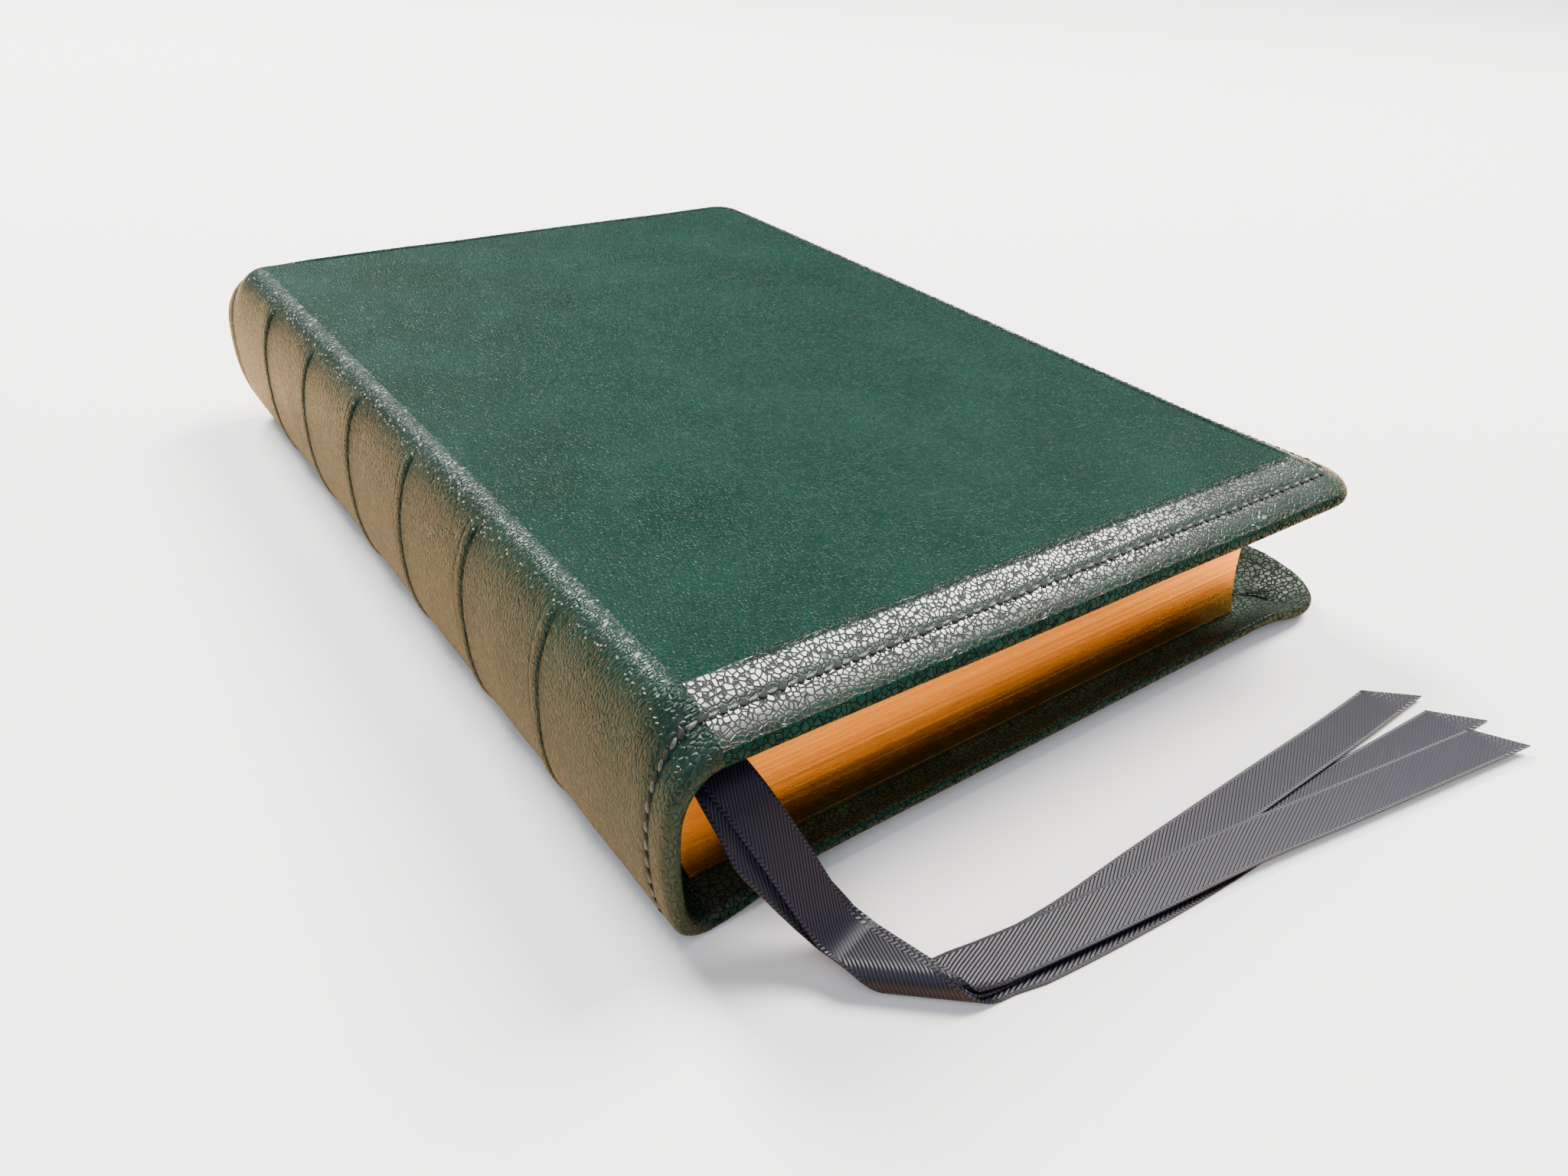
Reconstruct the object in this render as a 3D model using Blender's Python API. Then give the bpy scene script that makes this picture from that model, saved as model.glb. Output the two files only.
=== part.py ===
"""A limp leather prayer book lying shut on its back cover, as an assembly of named pieces.

Frame: +X runs from the spine to the fore-edge, +Y from the tail to the head, +Z up from the table.
The origin is the middle of the base, without the ribbon markers.
All lengths are in millimetres until the last step, which writes metres.
"""
import math

import bmesh
import bpy
from mathutils import Matrix, Vector

MM = 0.001

# overall sizes
BOOK_HEIGHT = 152.0      # front cover, tail edge to head edge
FRONT_WIDTH = 108.0      # outermost spine to the front cover's fore-edge
BACK_OVERHANG = 3.5      # the back cover has slid this far past the front cover's fore-edge
BACK_WIDTH = FRONT_WIDTH + BACK_OVERHANG
BOOK_THICKNESS = 29.0    # table to the top of the spine shoulder
FORE_TAPER = 0.022       # the pack of leaves is a little thinner towards the fore-edge
CORNER_RADIUS = 11.0

# the cover build-up, outside to inside
LEATHER = 0.8
BOARD = 0.45
LINING = 0.45
GAP = 0.25
COVER = LEATHER + GAP + BOARD + GAP + LINING

# the covers' bent edges
BACK_INSET = 2.0         # the back cover's tail and head edges stand in from the front cover's
FRONT_DROOP = 3.5
BACK_CURL = 2.4
TURN_IN = 8.4            # width of the leather turned in round the edge
STITCH_INSET = 3.6
THREAD_RADIUS = 0.2
GROOVE_HALF = 0.45
GROOVE_DEPTH = 0.65

# the spine
HINGE_X = 6.5
SPINE_POWER = 2.2
SPINE_LEATHER = 1.2
BAND_COUNT = 6
BAND_PITCH = 20.1
BAND_WIDTH = 2.4
BAND_HEIGHT = 0.5
BAND_SHIFT = 1.6         # the row of bands sits this far headwards of the middle
SPINE_LINING = 0.35
MULL = 0.35

# the leaves
TAIL_SQUARE = 7.6        # how far the leaves stand in from the front cover's tail and head
LEAF_HEIGHT = BOOK_HEIGHT - 2 * TAIL_SQUARE
FORE_SQUARE = 11.8       # the same at the fore-edge, at mid-thickness
BACK_ARC_X = 4.8
BACK_ARC = 2.4
LEAF_WIDTH = FRONT_WIDTH - FORE_SQUARE - BACK_ARC_X
FLYLEAF = 0.3
SECTION_COUNT = 4        # sections below the page that the markers lie on
FRONT_SECTION = 2.9
MARK_DEPTH = 9.85        # from the top of the shoulder down to the marked page
MARKED_PAGE = BOOK_THICKNESS - MARK_DEPTH

# the ribbon markers
RIBBON_WIDTH = 5.6
RIBBON_THICK = 0.25
RIBBON_STEP = RIBBON_THICK + GAP
RIBBON_X = 9.3           # where the markers leave the leaves
RIBBON_SHY = 1.4         # their head ends stop this far short of the leaves' head
CHANNEL_LEFT = RIBBON_X - RIBBON_WIDTH / 2 - 0.55
CHANNEL_RIGHT = RIBBON_X + RIBBON_WIDTH / 2 + 1.1

# the edge strips bend towards the leaves only outside the leaves' tail and head
FRONT_REACH = TAIL_SQUARE - 0.2
BACK_REACH = TAIL_SQUARE - BACK_INSET - 0.2

LEAF_FLOOR = COVER + GAP
LEAF_CEILING = BOOK_THICKNESS - COVER - GAP
SECTION = (MARKED_PAGE - LEAF_FLOOR - FLYLEAF) / SECTION_COUNT - GAP

# the joints' axes, all along Y at the edge of the spine: one on the table, the others on the shoulder
HINGES = {
    "leaves": ("back_cover", 0.0),
    "marked_leaves": ("leaves", BOOK_THICKNESS),
    "front_leaves": ("marked_leaves", BOOK_THICKNESS),
    "front_cover": ("front_leaves", BOOK_THICKNESS),
}


def clear_scene():
    """Take every object out, so that the part starts from nothing."""
    for item in list(bpy.data.objects):
        bpy.data.objects.remove(item, do_unlink=True)


def new_collection(name):
    """A collection linked to the scene."""
    made = bpy.data.collections.new(name)
    bpy.context.scene.collection.children.link(made)
    return made


def make_material(name, colour, roughness, metallic=0.0):
    """A plain Principled material."""
    mat = bpy.data.materials.new(name)
    mat.use_nodes = True
    shader = mat.node_tree.nodes["Principled BSDF"]
    shader.inputs["Base Color"].default_value = (*colour, 1.0)
    shader.inputs["Roughness"].default_value = roughness
    shader.inputs["Metallic"].default_value = metallic
    return mat


def placed(x, y, z):
    """A point of the drawing, in metres about the part's origin.

    The drawing's origin is the spine's tail corner; the part's is the middle of its base.
    """
    return Vector((x - BACK_WIDTH / 2, y - BOOK_HEIGHT / 2, z)) * MM


def add_hinges(home):
    """An empty on each joint's axis, each one the child of the body that it turns on."""
    pivots = {}
    for body, (carrier, height) in HINGES.items():
        pivot = bpy.data.objects.new(body + "_pivot", None)
        pivot.empty_display_size = 10 * MM
        at = placed(HINGE_X, BOOK_HEIGHT / 2, height)
        if carrier in pivots:
            pivot.parent = pivots[carrier]
            at = at - placed(HINGE_X, BOOK_HEIGHT / 2, HINGES[carrier][1])
        pivot.location = at
        home.objects.link(pivot)
        pivots[body] = pivot
    bpy.context.view_layer.update()
    return pivots


def hang(items, pivot):
    """Hang pieces on the empty that stands on their joint's axis, without moving them."""
    for item in items:
        item.parent = pivot
        item.matrix_parent_inverse = pivot.matrix_world.inverted()


def finish(bm, name, mat, home):
    """Turn a bmesh in millimetres into a named object in metres, its faces pointing outwards."""
    bmesh.ops.remove_doubles(bm, verts=bm.verts, dist=1e-5)
    bmesh.ops.recalc_face_normals(bm, faces=bm.faces)
    for vert in bm.verts:
        vert.co = placed(*vert.co)
    mesh = bpy.data.meshes.new(name)
    bm.to_mesh(mesh)
    bm.free()
    mesh.materials.append(mat)
    item = bpy.data.objects.new(name, mesh)
    home.objects.link(item)
    return item


def sunk(x, z):
    """Height of a point of the leaves after the pack's taper towards the fore-edge."""
    share = (z - LEAF_FLOOR) / (LEAF_CEILING - LEAF_FLOOR)
    return z - FORE_TAPER * max(0.0, x - HINGE_X) * min(max(share, 0.0), 1.0)


def extrude_profile(name, outline, y0, y1, mat, home):
    """Extrude a closed (x, z) outline along Y."""
    bm = bmesh.new()
    ring = [bm.verts.new((x, y0, z)) for x, z in outline]
    face = bm.faces.new(ring)
    moved = bmesh.ops.extrude_face_region(bm, geom=[face])
    fresh = [g for g in moved["geom"] if isinstance(g, bmesh.types.BMVert)]
    bmesh.ops.translate(bm, vec=(0.0, y1 - y0, 0.0), verts=fresh)
    return finish(bm, name, mat, home)


# ---------------------------------------------------------------- covers

def edge_bend(inset, depth, reach):
    """How far the cover's surface has bent towards the leaves at this distance from its edge."""
    return depth * max(0.0, (reach - inset) / reach) ** 1.6


def rounded_path(x0, x1, y0, y1, inset, radius, steps=8):
    """A U-shaped path round the tail, fore-edge and head, at a distance in from the edge."""
    r = max(radius - inset, 0.4)
    left = x0
    right, low, high = x1 - inset, y0 + inset, y1 - inset
    points = [(left, low)]
    for k in range(steps + 1):
        a = -math.pi / 2 + math.pi / 2 * k / steps
        points.append((right - r + r * math.cos(a), low + r + r * math.sin(a)))
    for k in range(steps + 1):
        a = math.pi / 2 * k / steps
        points.append((right - r + r * math.cos(a), high - r + r * math.sin(a)))
    points.append((left, high))
    return points


def cover_shell(name, profile, x1, y0, y1, surface, mat, home):
    """A solid whose edge has the same (inset, depth) profile all round its three free sides.

    profile runs from the outer face's flat middle, round the edge, to the inner face's flat middle.
    surface(inset, depth, x) gives the height of a point.
    """
    bm = bmesh.new()
    rings = []
    for inset, depth in profile:
        path = rounded_path(HINGE_X + GAP / 2, x1, y0, y1, inset, CORNER_RADIUS)
        rings.append([bm.verts.new((x, y, surface(inset, depth, x))) for x, y in path])
    for a, b in zip(rings, rings[1:]):
        for k in range(len(a) - 1):
            bm.faces.new((a[k], a[k + 1], b[k + 1], b[k]))
    bm.faces.new(rings[0])
    bm.faces.new(list(reversed(rings[-1])))
    wall = [ring[0] for ring in rings] + [ring[-1] for ring in reversed(rings)]
    bm.faces.new(wall)
    return finish(bm, name, mat, home)


def skin_profile(reach):
    """The leather: outer face with its thread groove, rounded edge, turn-in and pocket."""
    s, g, d = STITCH_INSET, GROOVE_HALF, GROOVE_DEPTH
    half = COVER / 2
    middle = TURN_IN + 1.5
    bend = s + g + 0.05
    rows = [(middle, 0.0), (reach, 0.0), ((2 * reach + bend) / 3, 0.0), ((reach + 2 * bend) / 3, 0.0)]
    rows += [(s + g + 0.05, 0.0), (s + g, d), (s - g, d), (s - g - 0.05, 0.0), (2.0, 0.0)]
    for k in range(7):
        a = math.pi * k / 6
        rows.append((half - half * math.sin(a), half - half * math.cos(a)))
    rows += [(2.0, COVER), (3.3, COVER), ((reach + 3.3) / 2, COVER), (reach, COVER), (TURN_IN, COVER)]
    rows += [(TURN_IN + 0.05, LEATHER), (middle, LEATHER)]
    return rows


def sheet_profile(top, bottom, edge):
    """A thin flat sheet inside the cover, from one depth to another, ending at this inset."""
    return [(edge, top), (edge + 0.01, bottom)]


def front_surface(inset, depth, x):
    """Height on the front cover."""
    lift = BOOK_THICKNESS - FORE_TAPER * (x - HINGE_X)
    return lift - edge_bend(inset, FRONT_DROOP, FRONT_REACH) - depth


def back_surface(inset, depth, x):
    """Height on the back cover."""
    return edge_bend(inset, BACK_CURL, BACK_REACH) + depth


def thread_loop(name, x1, y0, y1, surface, mat, home):
    """The run of sewing thread in the cover's groove, round its three free sides."""
    path = rounded_path(HINGE_X + 1.2, x1, y0, y1, STITCH_INSET, CORNER_RADIUS)
    curve = bpy.data.curves.new(name, "CURVE")
    curve.dimensions = "3D"
    curve.bevel_depth = THREAD_RADIUS * MM
    curve.bevel_resolution = 2
    curve.use_fill_caps = True
    spline = curve.splines.new("POLY")
    spline.points.add(len(path) - 1)
    for point, (x, y) in zip(spline.points, path):
        at = placed(x, y, surface(STITCH_INSET, THREAD_RADIUS + 0.05, x))
        point.co = (*at, 1.0)
    curve.materials.append(mat)
    item = bpy.data.objects.new(name, curve)
    home.objects.link(item)
    return item


# ---------------------------------------------------------------- spine

def spine_curve(offset, end_x, steps=22):
    """The spine's C-shaped section, a distance in from its outer face, bottom to top."""
    half = BOOK_THICKNESS / 2
    reach = HINGE_X
    points = [(end_x, offset)]
    for k in range(steps + 1):
        a = -math.pi / 2 + math.pi * k / steps
        c = abs(math.cos(a)) ** (2 / SPINE_POWER)
        s = math.copysign(abs(math.sin(a)) ** (2 / SPINE_POWER), math.sin(a))
        x = reach - (reach - offset) * c
        z = half + (half - offset) * s
        if x < end_x - 0.05:
            points.append((x, z))
    points.append((end_x, 2 * half - offset))
    return points


def spine_shell(name, outer, inner, end_x, y0, y1, mat, home, trim=0.0):
    """A C-shaped sheet between two distances from the spine's outer face."""
    outside = spine_curve(outer, end_x)
    inside = spine_curve(inner, end_x)
    if trim:
        low, high = trim, BOOK_THICKNESS - trim
        outside = [p for p in outside if low < p[1] < high]
        inside = [p for p in inside if low < p[1] < high]
    return extrude_profile(name, outside + inside[::-1], y0, y1, mat, home)


# ---------------------------------------------------------------- leaves

def back_x(z):
    """The rounded back of the leaves at this height."""
    middle = (LEAF_FLOOR + LEAF_CEILING) / 2
    u = (z - middle) / ((LEAF_CEILING - LEAF_FLOOR) / 2)
    return BACK_ARC_X + BACK_ARC * u * u


def section_outline(z0, z1, channel=None):
    """The (x, z) outline of a stack of leaves between two heights at the spine."""
    levels = [z0 + (z1 - z0) * k / 3 for k in range(4)]
    left = [(back_x(z), sunk(back_x(z), z)) for z in levels]
    right = [(back_x(z) + LEAF_WIDTH, sunk(back_x(z) + LEAF_WIDTH, z)) for z in levels]
    outline = right + left[::-1]
    if channel:
        floor = z1 - channel
        outline = right
        outline += [(CHANNEL_RIGHT, sunk(CHANNEL_RIGHT, z1))]
        outline += [(CHANNEL_RIGHT, sunk(CHANNEL_RIGHT, floor))]
        outline += [(CHANNEL_LEFT, sunk(CHANNEL_LEFT, floor))]
        outline += [(CHANNEL_LEFT, sunk(CHANNEL_LEFT, z1))]
        outline += left[::-1]
    return outline


# ---------------------------------------------------------------- ribbons

FOLD_AT = Vector((17.3, -13.3, 0.0))
FOLD_ANGLE = math.radians(-41.0)
FALL_ANGLE = math.radians(-75.0)
FOLD_HEIGHT = 1.75
FOLD_RADIUS = 1.6
RIBBON_COLUMNS = 8

# the marker's middle line from the tail of the leaves down to where it lies level before the fold
FALL = [
    (RIBBON_X, 6.4, 18.95), (9.4, 4.6, 18.65), (9.8, 2.9, 17.6), (10.5, 1.2, 15.9), (11.4, -0.6, 13.6),
    (12.5, -2.6, 10.9), (13.6, -4.5, 8.1), (14.6, -6.2, 5.7), (15.4, -7.6, 4.1), (16.135, -8.95, 3.42),
]

# each marker: how far it stands aside in the fall, its layer, its path on the table, its oblique cut
MARKERS = {
    "ribbon_marker_1": dict(
        layer=0, aside=(0.0, 0.0, -0.5),
        lie=[(31.0, -19.1), (42.0, -20.2), (55.0, -21.0), (70.0, -21.2), (84.0, -21.5), (95.0, -21.9),
             (106.6, -22.3)], cut=2.6),
    "ribbon_marker_2": dict(
        layer=1, aside=(-0.5, -2.2, 0.0),
        lie=[(29.0, -17.6), (38.0, -17.9), (50.0, -17.3), (62.0, -16.8), (75.0, -16.3), (90.0, -15.8),
             (103.0, -15.1)], cut=2.8),
    "ribbon_marker_3": dict(
        layer=2, aside=(0.0, -0.8, 1.0),
        lie=[(27.0, -17.3), (36.0, -18.6), (48.0, -20.0), (62.0, -21.6), (76.0, -23.8), (92.0, -26.2),
             (105.5, -28.2)], cut=2.2),
}


def smooth_path(points, step):
    """A Catmull-Rom curve through the points, sampled about every step."""
    pts = [Vector(p) for p in points]
    pts = [pts[0] * 2 - pts[1]] + pts + [pts[-1] * 2 - pts[-2]]
    out = []
    for k in range(1, len(pts) - 2):
        a, b, c, d = pts[k - 1], pts[k], pts[k + 1], pts[k + 2]
        count = max(1, round((c - b).length / step))
        for j in range(count):
            t = j / count
            out.append(0.5 * ((2 * b) + (c - a) * t + (2 * a - 5 * b + 4 * c - d) * t * t
                              + (3 * b - a - 3 * c + d) * t * t * t))
    out.append(pts[-2])
    return out


def folded(point, radius):
    """Bend a level point round the soft fold; also gives the sheet's normal there."""
    out = Vector((math.sin(FOLD_ANGLE), -math.cos(FOLD_ANGLE), 0.0))
    reach = (point - FOLD_AT).dot(out)
    if reach <= 0.0:
        return point.copy(), Vector((0, 0, 1))
    at = point - out * reach
    if reach >= math.pi * radius:
        at -= out * (reach - math.pi * radius)
        at.z -= 2 * radius
        return at, Vector((0, 0, -1))
    a = reach / radius
    at += out * math.sin(a) * radius
    at.z += radius * (math.cos(a) - 1)
    return at, (out * math.sin(a) + Vector((0, 0, 1)) * math.cos(a)).normalized()


def fall_line():
    """The fall's middle line, its top at the height of the marked page."""
    top, foot = FALL[0][2], FALL[-1][2]
    stretch = (MARKED_PAGE - 0.2 - foot) / (top - foot)
    return [Vector((x, y, foot + (z - foot) * stretch)) for x, y, z in FALL]


def ribbon_rows(spec):
    """Rows of (point, normal) across one marker, from its head end to its cut end."""
    layer = spec["layer"]
    drop = RIBBON_STEP * layer
    radius = FOLD_RADIUS - RIBBON_STEP * layer
    level = FOLD_HEIGHT + radius
    at_exit, at_fall, at_fold = spec["aside"]
    heading = Vector((math.cos(FALL_ANGLE), math.sin(FALL_ANGLE), 0.0))
    flat = Vector((-heading.y, heading.x, 0.0))
    up = Vector((0.0, 0.0, 1.0))
    places = [RIBBON_WIDTH * (k / RIBBON_COLUMNS - 0.5) for k in range(RIBBON_COLUMNS + 1)]
    rows = []
    # inside the leaves, from the head end to the tail
    fall = fall_line()
    head_end = BOOK_HEIGHT - TAIL_SQUARE - RIBBON_SHY
    for y in (head_end, head_end / 2, 12.0, 8.5):
        middle = Vector((RIBBON_X + at_exit, y, fall[0].z - drop))
        rows.append([(middle + Vector((w, 0, 0)), up) for w in places])
    # the fall
    line = smooth_path(fall, 1.7)
    total = len(line) - 1
    for k, middle in enumerate(line[:-1]):
        ahead = (line[k + 1] - line[max(k - 1, 0)]).normalized()
        share = k / total
        side = Vector((1, 0, 0)).lerp(flat, share)
        across = (side - ahead * side.dot(ahead)).normalized()
        normal = ahead.cross(across).normalized()
        if share < 0.45:
            aside = at_exit + (at_fall - at_exit) * share / 0.45
        else:
            aside = at_fall + (at_fold - at_fall) * (share - 0.45) / 0.55
        at = middle + across * aside - normal * drop
        rows.append([(at + across * w, normal) for w in places])
    # the soft fold: the strip winds half round a small roll, and runs on under itself
    turn = math.radians(abs(math.degrees(FALL_ANGLE - FOLD_ANGLE)))
    early = (line[-1] - FOLD_AT).dot(heading)
    late = math.pi * radius / math.sin(turn) + RIBBON_WIDTH / 2 / math.tan(turn) + 0.3
    count = round((late - early) / 0.6)
    for k in range(count + 1):
        run = early + (late - early) * k / count
        middle = FOLD_AT + heading * run + flat * at_fold
        middle.z = level
        rows.append([folded(middle + flat * w, radius) for w in places])
    # lying on the table
    half = RIBBON_COLUMNS // 2
    last = rows[-1][half][0]
    side_before = (rows[-1][-1][0] - rows[-1][0][0]).normalized()
    lie = [tuple(last)] + [(x, y, last.z) for x, y in spec["lie"]]
    line = smooth_path(lie, 5.0)
    for k in range(1, len(line)):
        nxt = line[min(k + 1, len(line) - 1)]
        ahead = (nxt - line[k - 1]).normalized()
        across = Vector((ahead.y, -ahead.x, 0.0))
        if across.dot(side_before) < 0:
            across = -across
        slant = 0.0
        if k == len(line) - 1:
            slant = -spec["cut"] if across.y > 0 else spec["cut"]
        row = [line[k] + across * w + ahead * slant * w * 2 / RIBBON_WIDTH for w in places]
        rows.append([(at, -up) for at in row])
    return rows


def ribbon(name, spec, mat, home):
    """One marker as a thin strip."""
    bm = bmesh.new()
    rings = []
    for row in ribbon_rows(spec):
        under = [bm.verts.new(at - normal * RIBBON_THICK / 2) for at, normal in row]
        over = [bm.verts.new(at + normal * RIBBON_THICK / 2) for at, normal in row]
        rings.append(under + over[::-1])
    size = len(rings[0])
    for a, b in zip(rings, rings[1:]):
        for j in range(size):
            bm.faces.new((a[j], a[(j + 1) % size], b[(j + 1) % size], b[j]))
    bm.faces.new(rings[0])
    bm.faces.new(list(reversed(rings[-1])))
    return finish(bm, name, mat, home)


# ---------------------------------------------------------------- assembly

def make_materials():
    """The materials that the pieces share."""
    return {
        "leather": make_material("green_leather", (0.035, 0.115, 0.085), 0.5),
        "card": make_material("grey_card", (0.35, 0.33, 0.3), 0.9),
        "doublure": make_material("leather_lining", (0.03, 0.07, 0.05), 0.6),
        "thread": make_material("dark_thread", (0.02, 0.05, 0.04), 0.8),
        "paper": make_material("paper", (0.8, 0.76, 0.66), 0.9),
        "gilt": make_material("gilt_paper", (0.7, 0.38, 0.12), 0.35, 0.7),
        "cloth": make_material("mull_cloth", (0.7, 0.68, 0.6), 0.95),
        "cord": make_material("band_cord", (0.5, 0.42, 0.3), 0.9),
        "satin": make_material("black_satin", (0.02, 0.02, 0.025), 0.45),
    }


def make_cover(name, x1, y0, y1, surface, reach, mats, home):
    """One cover: leather skin with its turn-in, board, lining and sewn thread."""
    board_top = LEATHER + GAP
    board_edge = TURN_IN + 0.6
    lining_top = board_top + BOARD + GAP
    lining_edge = TURN_IN + 0.4
    board = sheet_profile(board_top, board_top + BOARD, board_edge)
    lining = sheet_profile(lining_top, lining_top + LINING, lining_edge)
    return [
        cover_shell(name + "_leather", skin_profile(reach), x1, y0, y1, surface, mats["leather"], home),
        cover_shell(name + "_board", board, x1, y0, y1, surface, mats["card"], home),
        cover_shell(name + "_lining", lining, x1, y0, y1, surface, mats["doublure"], home),
        thread_loop(name + "_thread", x1, y0, y1, surface, mats["thread"], home),
    ]


def make_spine(mats, home):
    """The spine's leather, the cords under its raised bands, its card lining and its mull."""
    end = HINGE_X - 1.0
    band_out = SPINE_LEATHER + GAP
    band_in = band_out + BAND_HEIGHT
    lining_out = band_in + GAP
    mull_out = lining_out + SPINE_LINING + GAP
    y0, y1 = TAIL_SQUARE + 1.0, TAIL_SQUARE + LEAF_HEIGHT - 1.0
    made = [spine_shell("spine_leather", 0.0, SPINE_LEATHER, HINGE_X - GAP / 2, 0.0, BOOK_HEIGHT,
                        mats["leather"], home)]
    for k in range(BAND_COUNT):
        y = BOOK_HEIGHT / 2 + BAND_SHIFT + (k - (BAND_COUNT - 1) / 2) * BAND_PITCH
        made.append(spine_shell(f"raised_band_{k + 1}", band_out, band_in, end, y - BAND_WIDTH / 2,
                                y + BAND_WIDTH / 2, mats["cord"], home, trim=3.6))
    made.append(spine_shell("spine_lining", lining_out, lining_out + SPINE_LINING, end, y0, y1,
                            mats["card"], home, trim=3.8))
    made.append(spine_shell("spine_mull", mull_out, mull_out + MULL, end, y0, y1, mats["cloth"], home,
                            trim=4.2))
    return made


def make_leaves(mats, home):
    """The stack between the covers, bottom to top: flyleaf, six sections, flyleaf."""
    tail, head = TAIL_SQUARE, TAIL_SQUARE + LEAF_HEIGHT
    heights = [FLYLEAF] + [SECTION] * SECTION_COUNT + [FRONT_SECTION]
    rest = LEAF_CEILING - LEAF_FLOOR - sum(heights) - FLYLEAF - GAP * (len(heights) + 1)
    heights += [rest, FLYLEAF]
    made = []
    z = LEAF_FLOOR
    for k, height in enumerate(heights):
        channel = 3 * RIBBON_STEP + GAP if k == SECTION_COUNT else None
        name, mat = f"leaf_section_{k}", mats["gilt"]
        if k == 0:
            name, mat = "back_flyleaf", mats["paper"]
        if k == len(heights) - 1:
            name, mat = "front_flyleaf", mats["paper"]
        outline = section_outline(z, z + height, channel)
        made.append(extrude_profile(name, outline, tail, head, mat, home))
        z += height + GAP
    return made


def build():
    """Make every piece and hang it on its joint."""
    clear_scene()
    home = new_collection("prayer_book")
    mats = make_materials()
    pivots = add_hinges(home)

    back_low, back_high = BACK_INSET, BOOK_HEIGHT - BACK_INSET
    make_cover("back_cover", BACK_WIDTH, back_low, back_high, back_surface, BACK_REACH, mats, home)
    front = make_cover("front_cover", FRONT_WIDTH, 0.0, BOOK_HEIGHT, front_surface, FRONT_REACH, mats, home)
    spine = make_spine(mats, home)
    stack = make_leaves(mats, home)
    markers = [ribbon(name, spec, mats["satin"], home) for name, spec in MARKERS.items()]

    below = SECTION_COUNT + 1
    hang(spine + stack[:below] + markers, pivots["leaves"])
    hang(stack[below:below + 1], pivots["marked_leaves"])
    hang(stack[below + 1:], pivots["front_leaves"])
    hang(front, pivots["front_cover"])


build()
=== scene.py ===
"""The looks of a limp leather prayer book with ribbon markers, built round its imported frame.

The drawing's units are millimetres. Its origin is the spine's tail corner on the table: +X runs to the
fore-edge, +Y from tail to head, +Z up. Placing turns it into the frame's metres.
"""
import logging
import math
from dataclasses import dataclass, field
from enum import Enum
from typing import Callable, Iterable, Optional, Sequence

import bmesh
import bpy
from bpy.types import Material, Node, NodeSocket, NodeTree, Object
from mathutils import Matrix, Vector, noise
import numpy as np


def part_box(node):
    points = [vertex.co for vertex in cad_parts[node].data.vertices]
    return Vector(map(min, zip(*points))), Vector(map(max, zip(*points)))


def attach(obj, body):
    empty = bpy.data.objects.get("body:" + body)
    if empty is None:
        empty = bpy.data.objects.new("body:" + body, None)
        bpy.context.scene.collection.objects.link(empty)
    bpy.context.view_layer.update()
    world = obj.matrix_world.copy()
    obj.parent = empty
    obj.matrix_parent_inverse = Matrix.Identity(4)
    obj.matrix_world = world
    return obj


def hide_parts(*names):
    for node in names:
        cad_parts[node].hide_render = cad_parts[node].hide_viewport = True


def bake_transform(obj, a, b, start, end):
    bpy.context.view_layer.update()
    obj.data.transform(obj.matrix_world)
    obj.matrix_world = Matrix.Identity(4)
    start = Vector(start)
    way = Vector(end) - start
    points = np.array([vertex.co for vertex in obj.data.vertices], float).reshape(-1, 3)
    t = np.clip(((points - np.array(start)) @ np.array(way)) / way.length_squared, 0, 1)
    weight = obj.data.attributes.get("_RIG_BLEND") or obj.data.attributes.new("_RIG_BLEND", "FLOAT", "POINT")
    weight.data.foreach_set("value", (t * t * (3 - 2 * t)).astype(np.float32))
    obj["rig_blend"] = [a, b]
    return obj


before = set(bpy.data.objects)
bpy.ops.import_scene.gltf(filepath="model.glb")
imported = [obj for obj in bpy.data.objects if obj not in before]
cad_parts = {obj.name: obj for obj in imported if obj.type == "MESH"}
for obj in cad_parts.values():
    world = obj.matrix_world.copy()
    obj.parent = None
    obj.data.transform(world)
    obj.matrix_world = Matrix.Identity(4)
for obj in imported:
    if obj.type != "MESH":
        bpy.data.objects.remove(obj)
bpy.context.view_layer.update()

log = logging.getLogger("prayer_book")

MM = 0.001
Place = Callable[[float, float], Vector]
BMesh = bmesh.types.BMesh
LEAF_NODES = ("back_flyleaf", *(f"leaf_section_{k}" for k in range(1, 7)), "front_flyleaf")
MARKED_STACK = 4


# --- measures


class Body(Enum):
    """The frame's bodies, named as the record names them."""

    BACK_COVER = "back_cover"
    LEAVES = "leaves"
    MARKED_LEAVES = "marked_leaves"
    FRONT_LEAVES = "front_leaves"
    FRONT_COVER = "front_cover"


class Side(Enum):
    """Which of the two covers."""

    FRONT = "front_cover"
    BACK = "back_cover"


@dataclass(frozen=True)
class Placing:
    """Where the drawing's origin stands in the frame, in metres."""

    corner: Vector

    def point(self, at: Vector) -> Vector:
        """A drawing point in the frame's metres."""
        return Vector((at[0] * MM, at[1] * MM, at[2] * MM)) + self.corner

    def size(self, metres: float, axis: int) -> float:
        """A frame coordinate in the drawing's millimetres."""
        return (metres - self.corner[axis]) / MM


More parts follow.
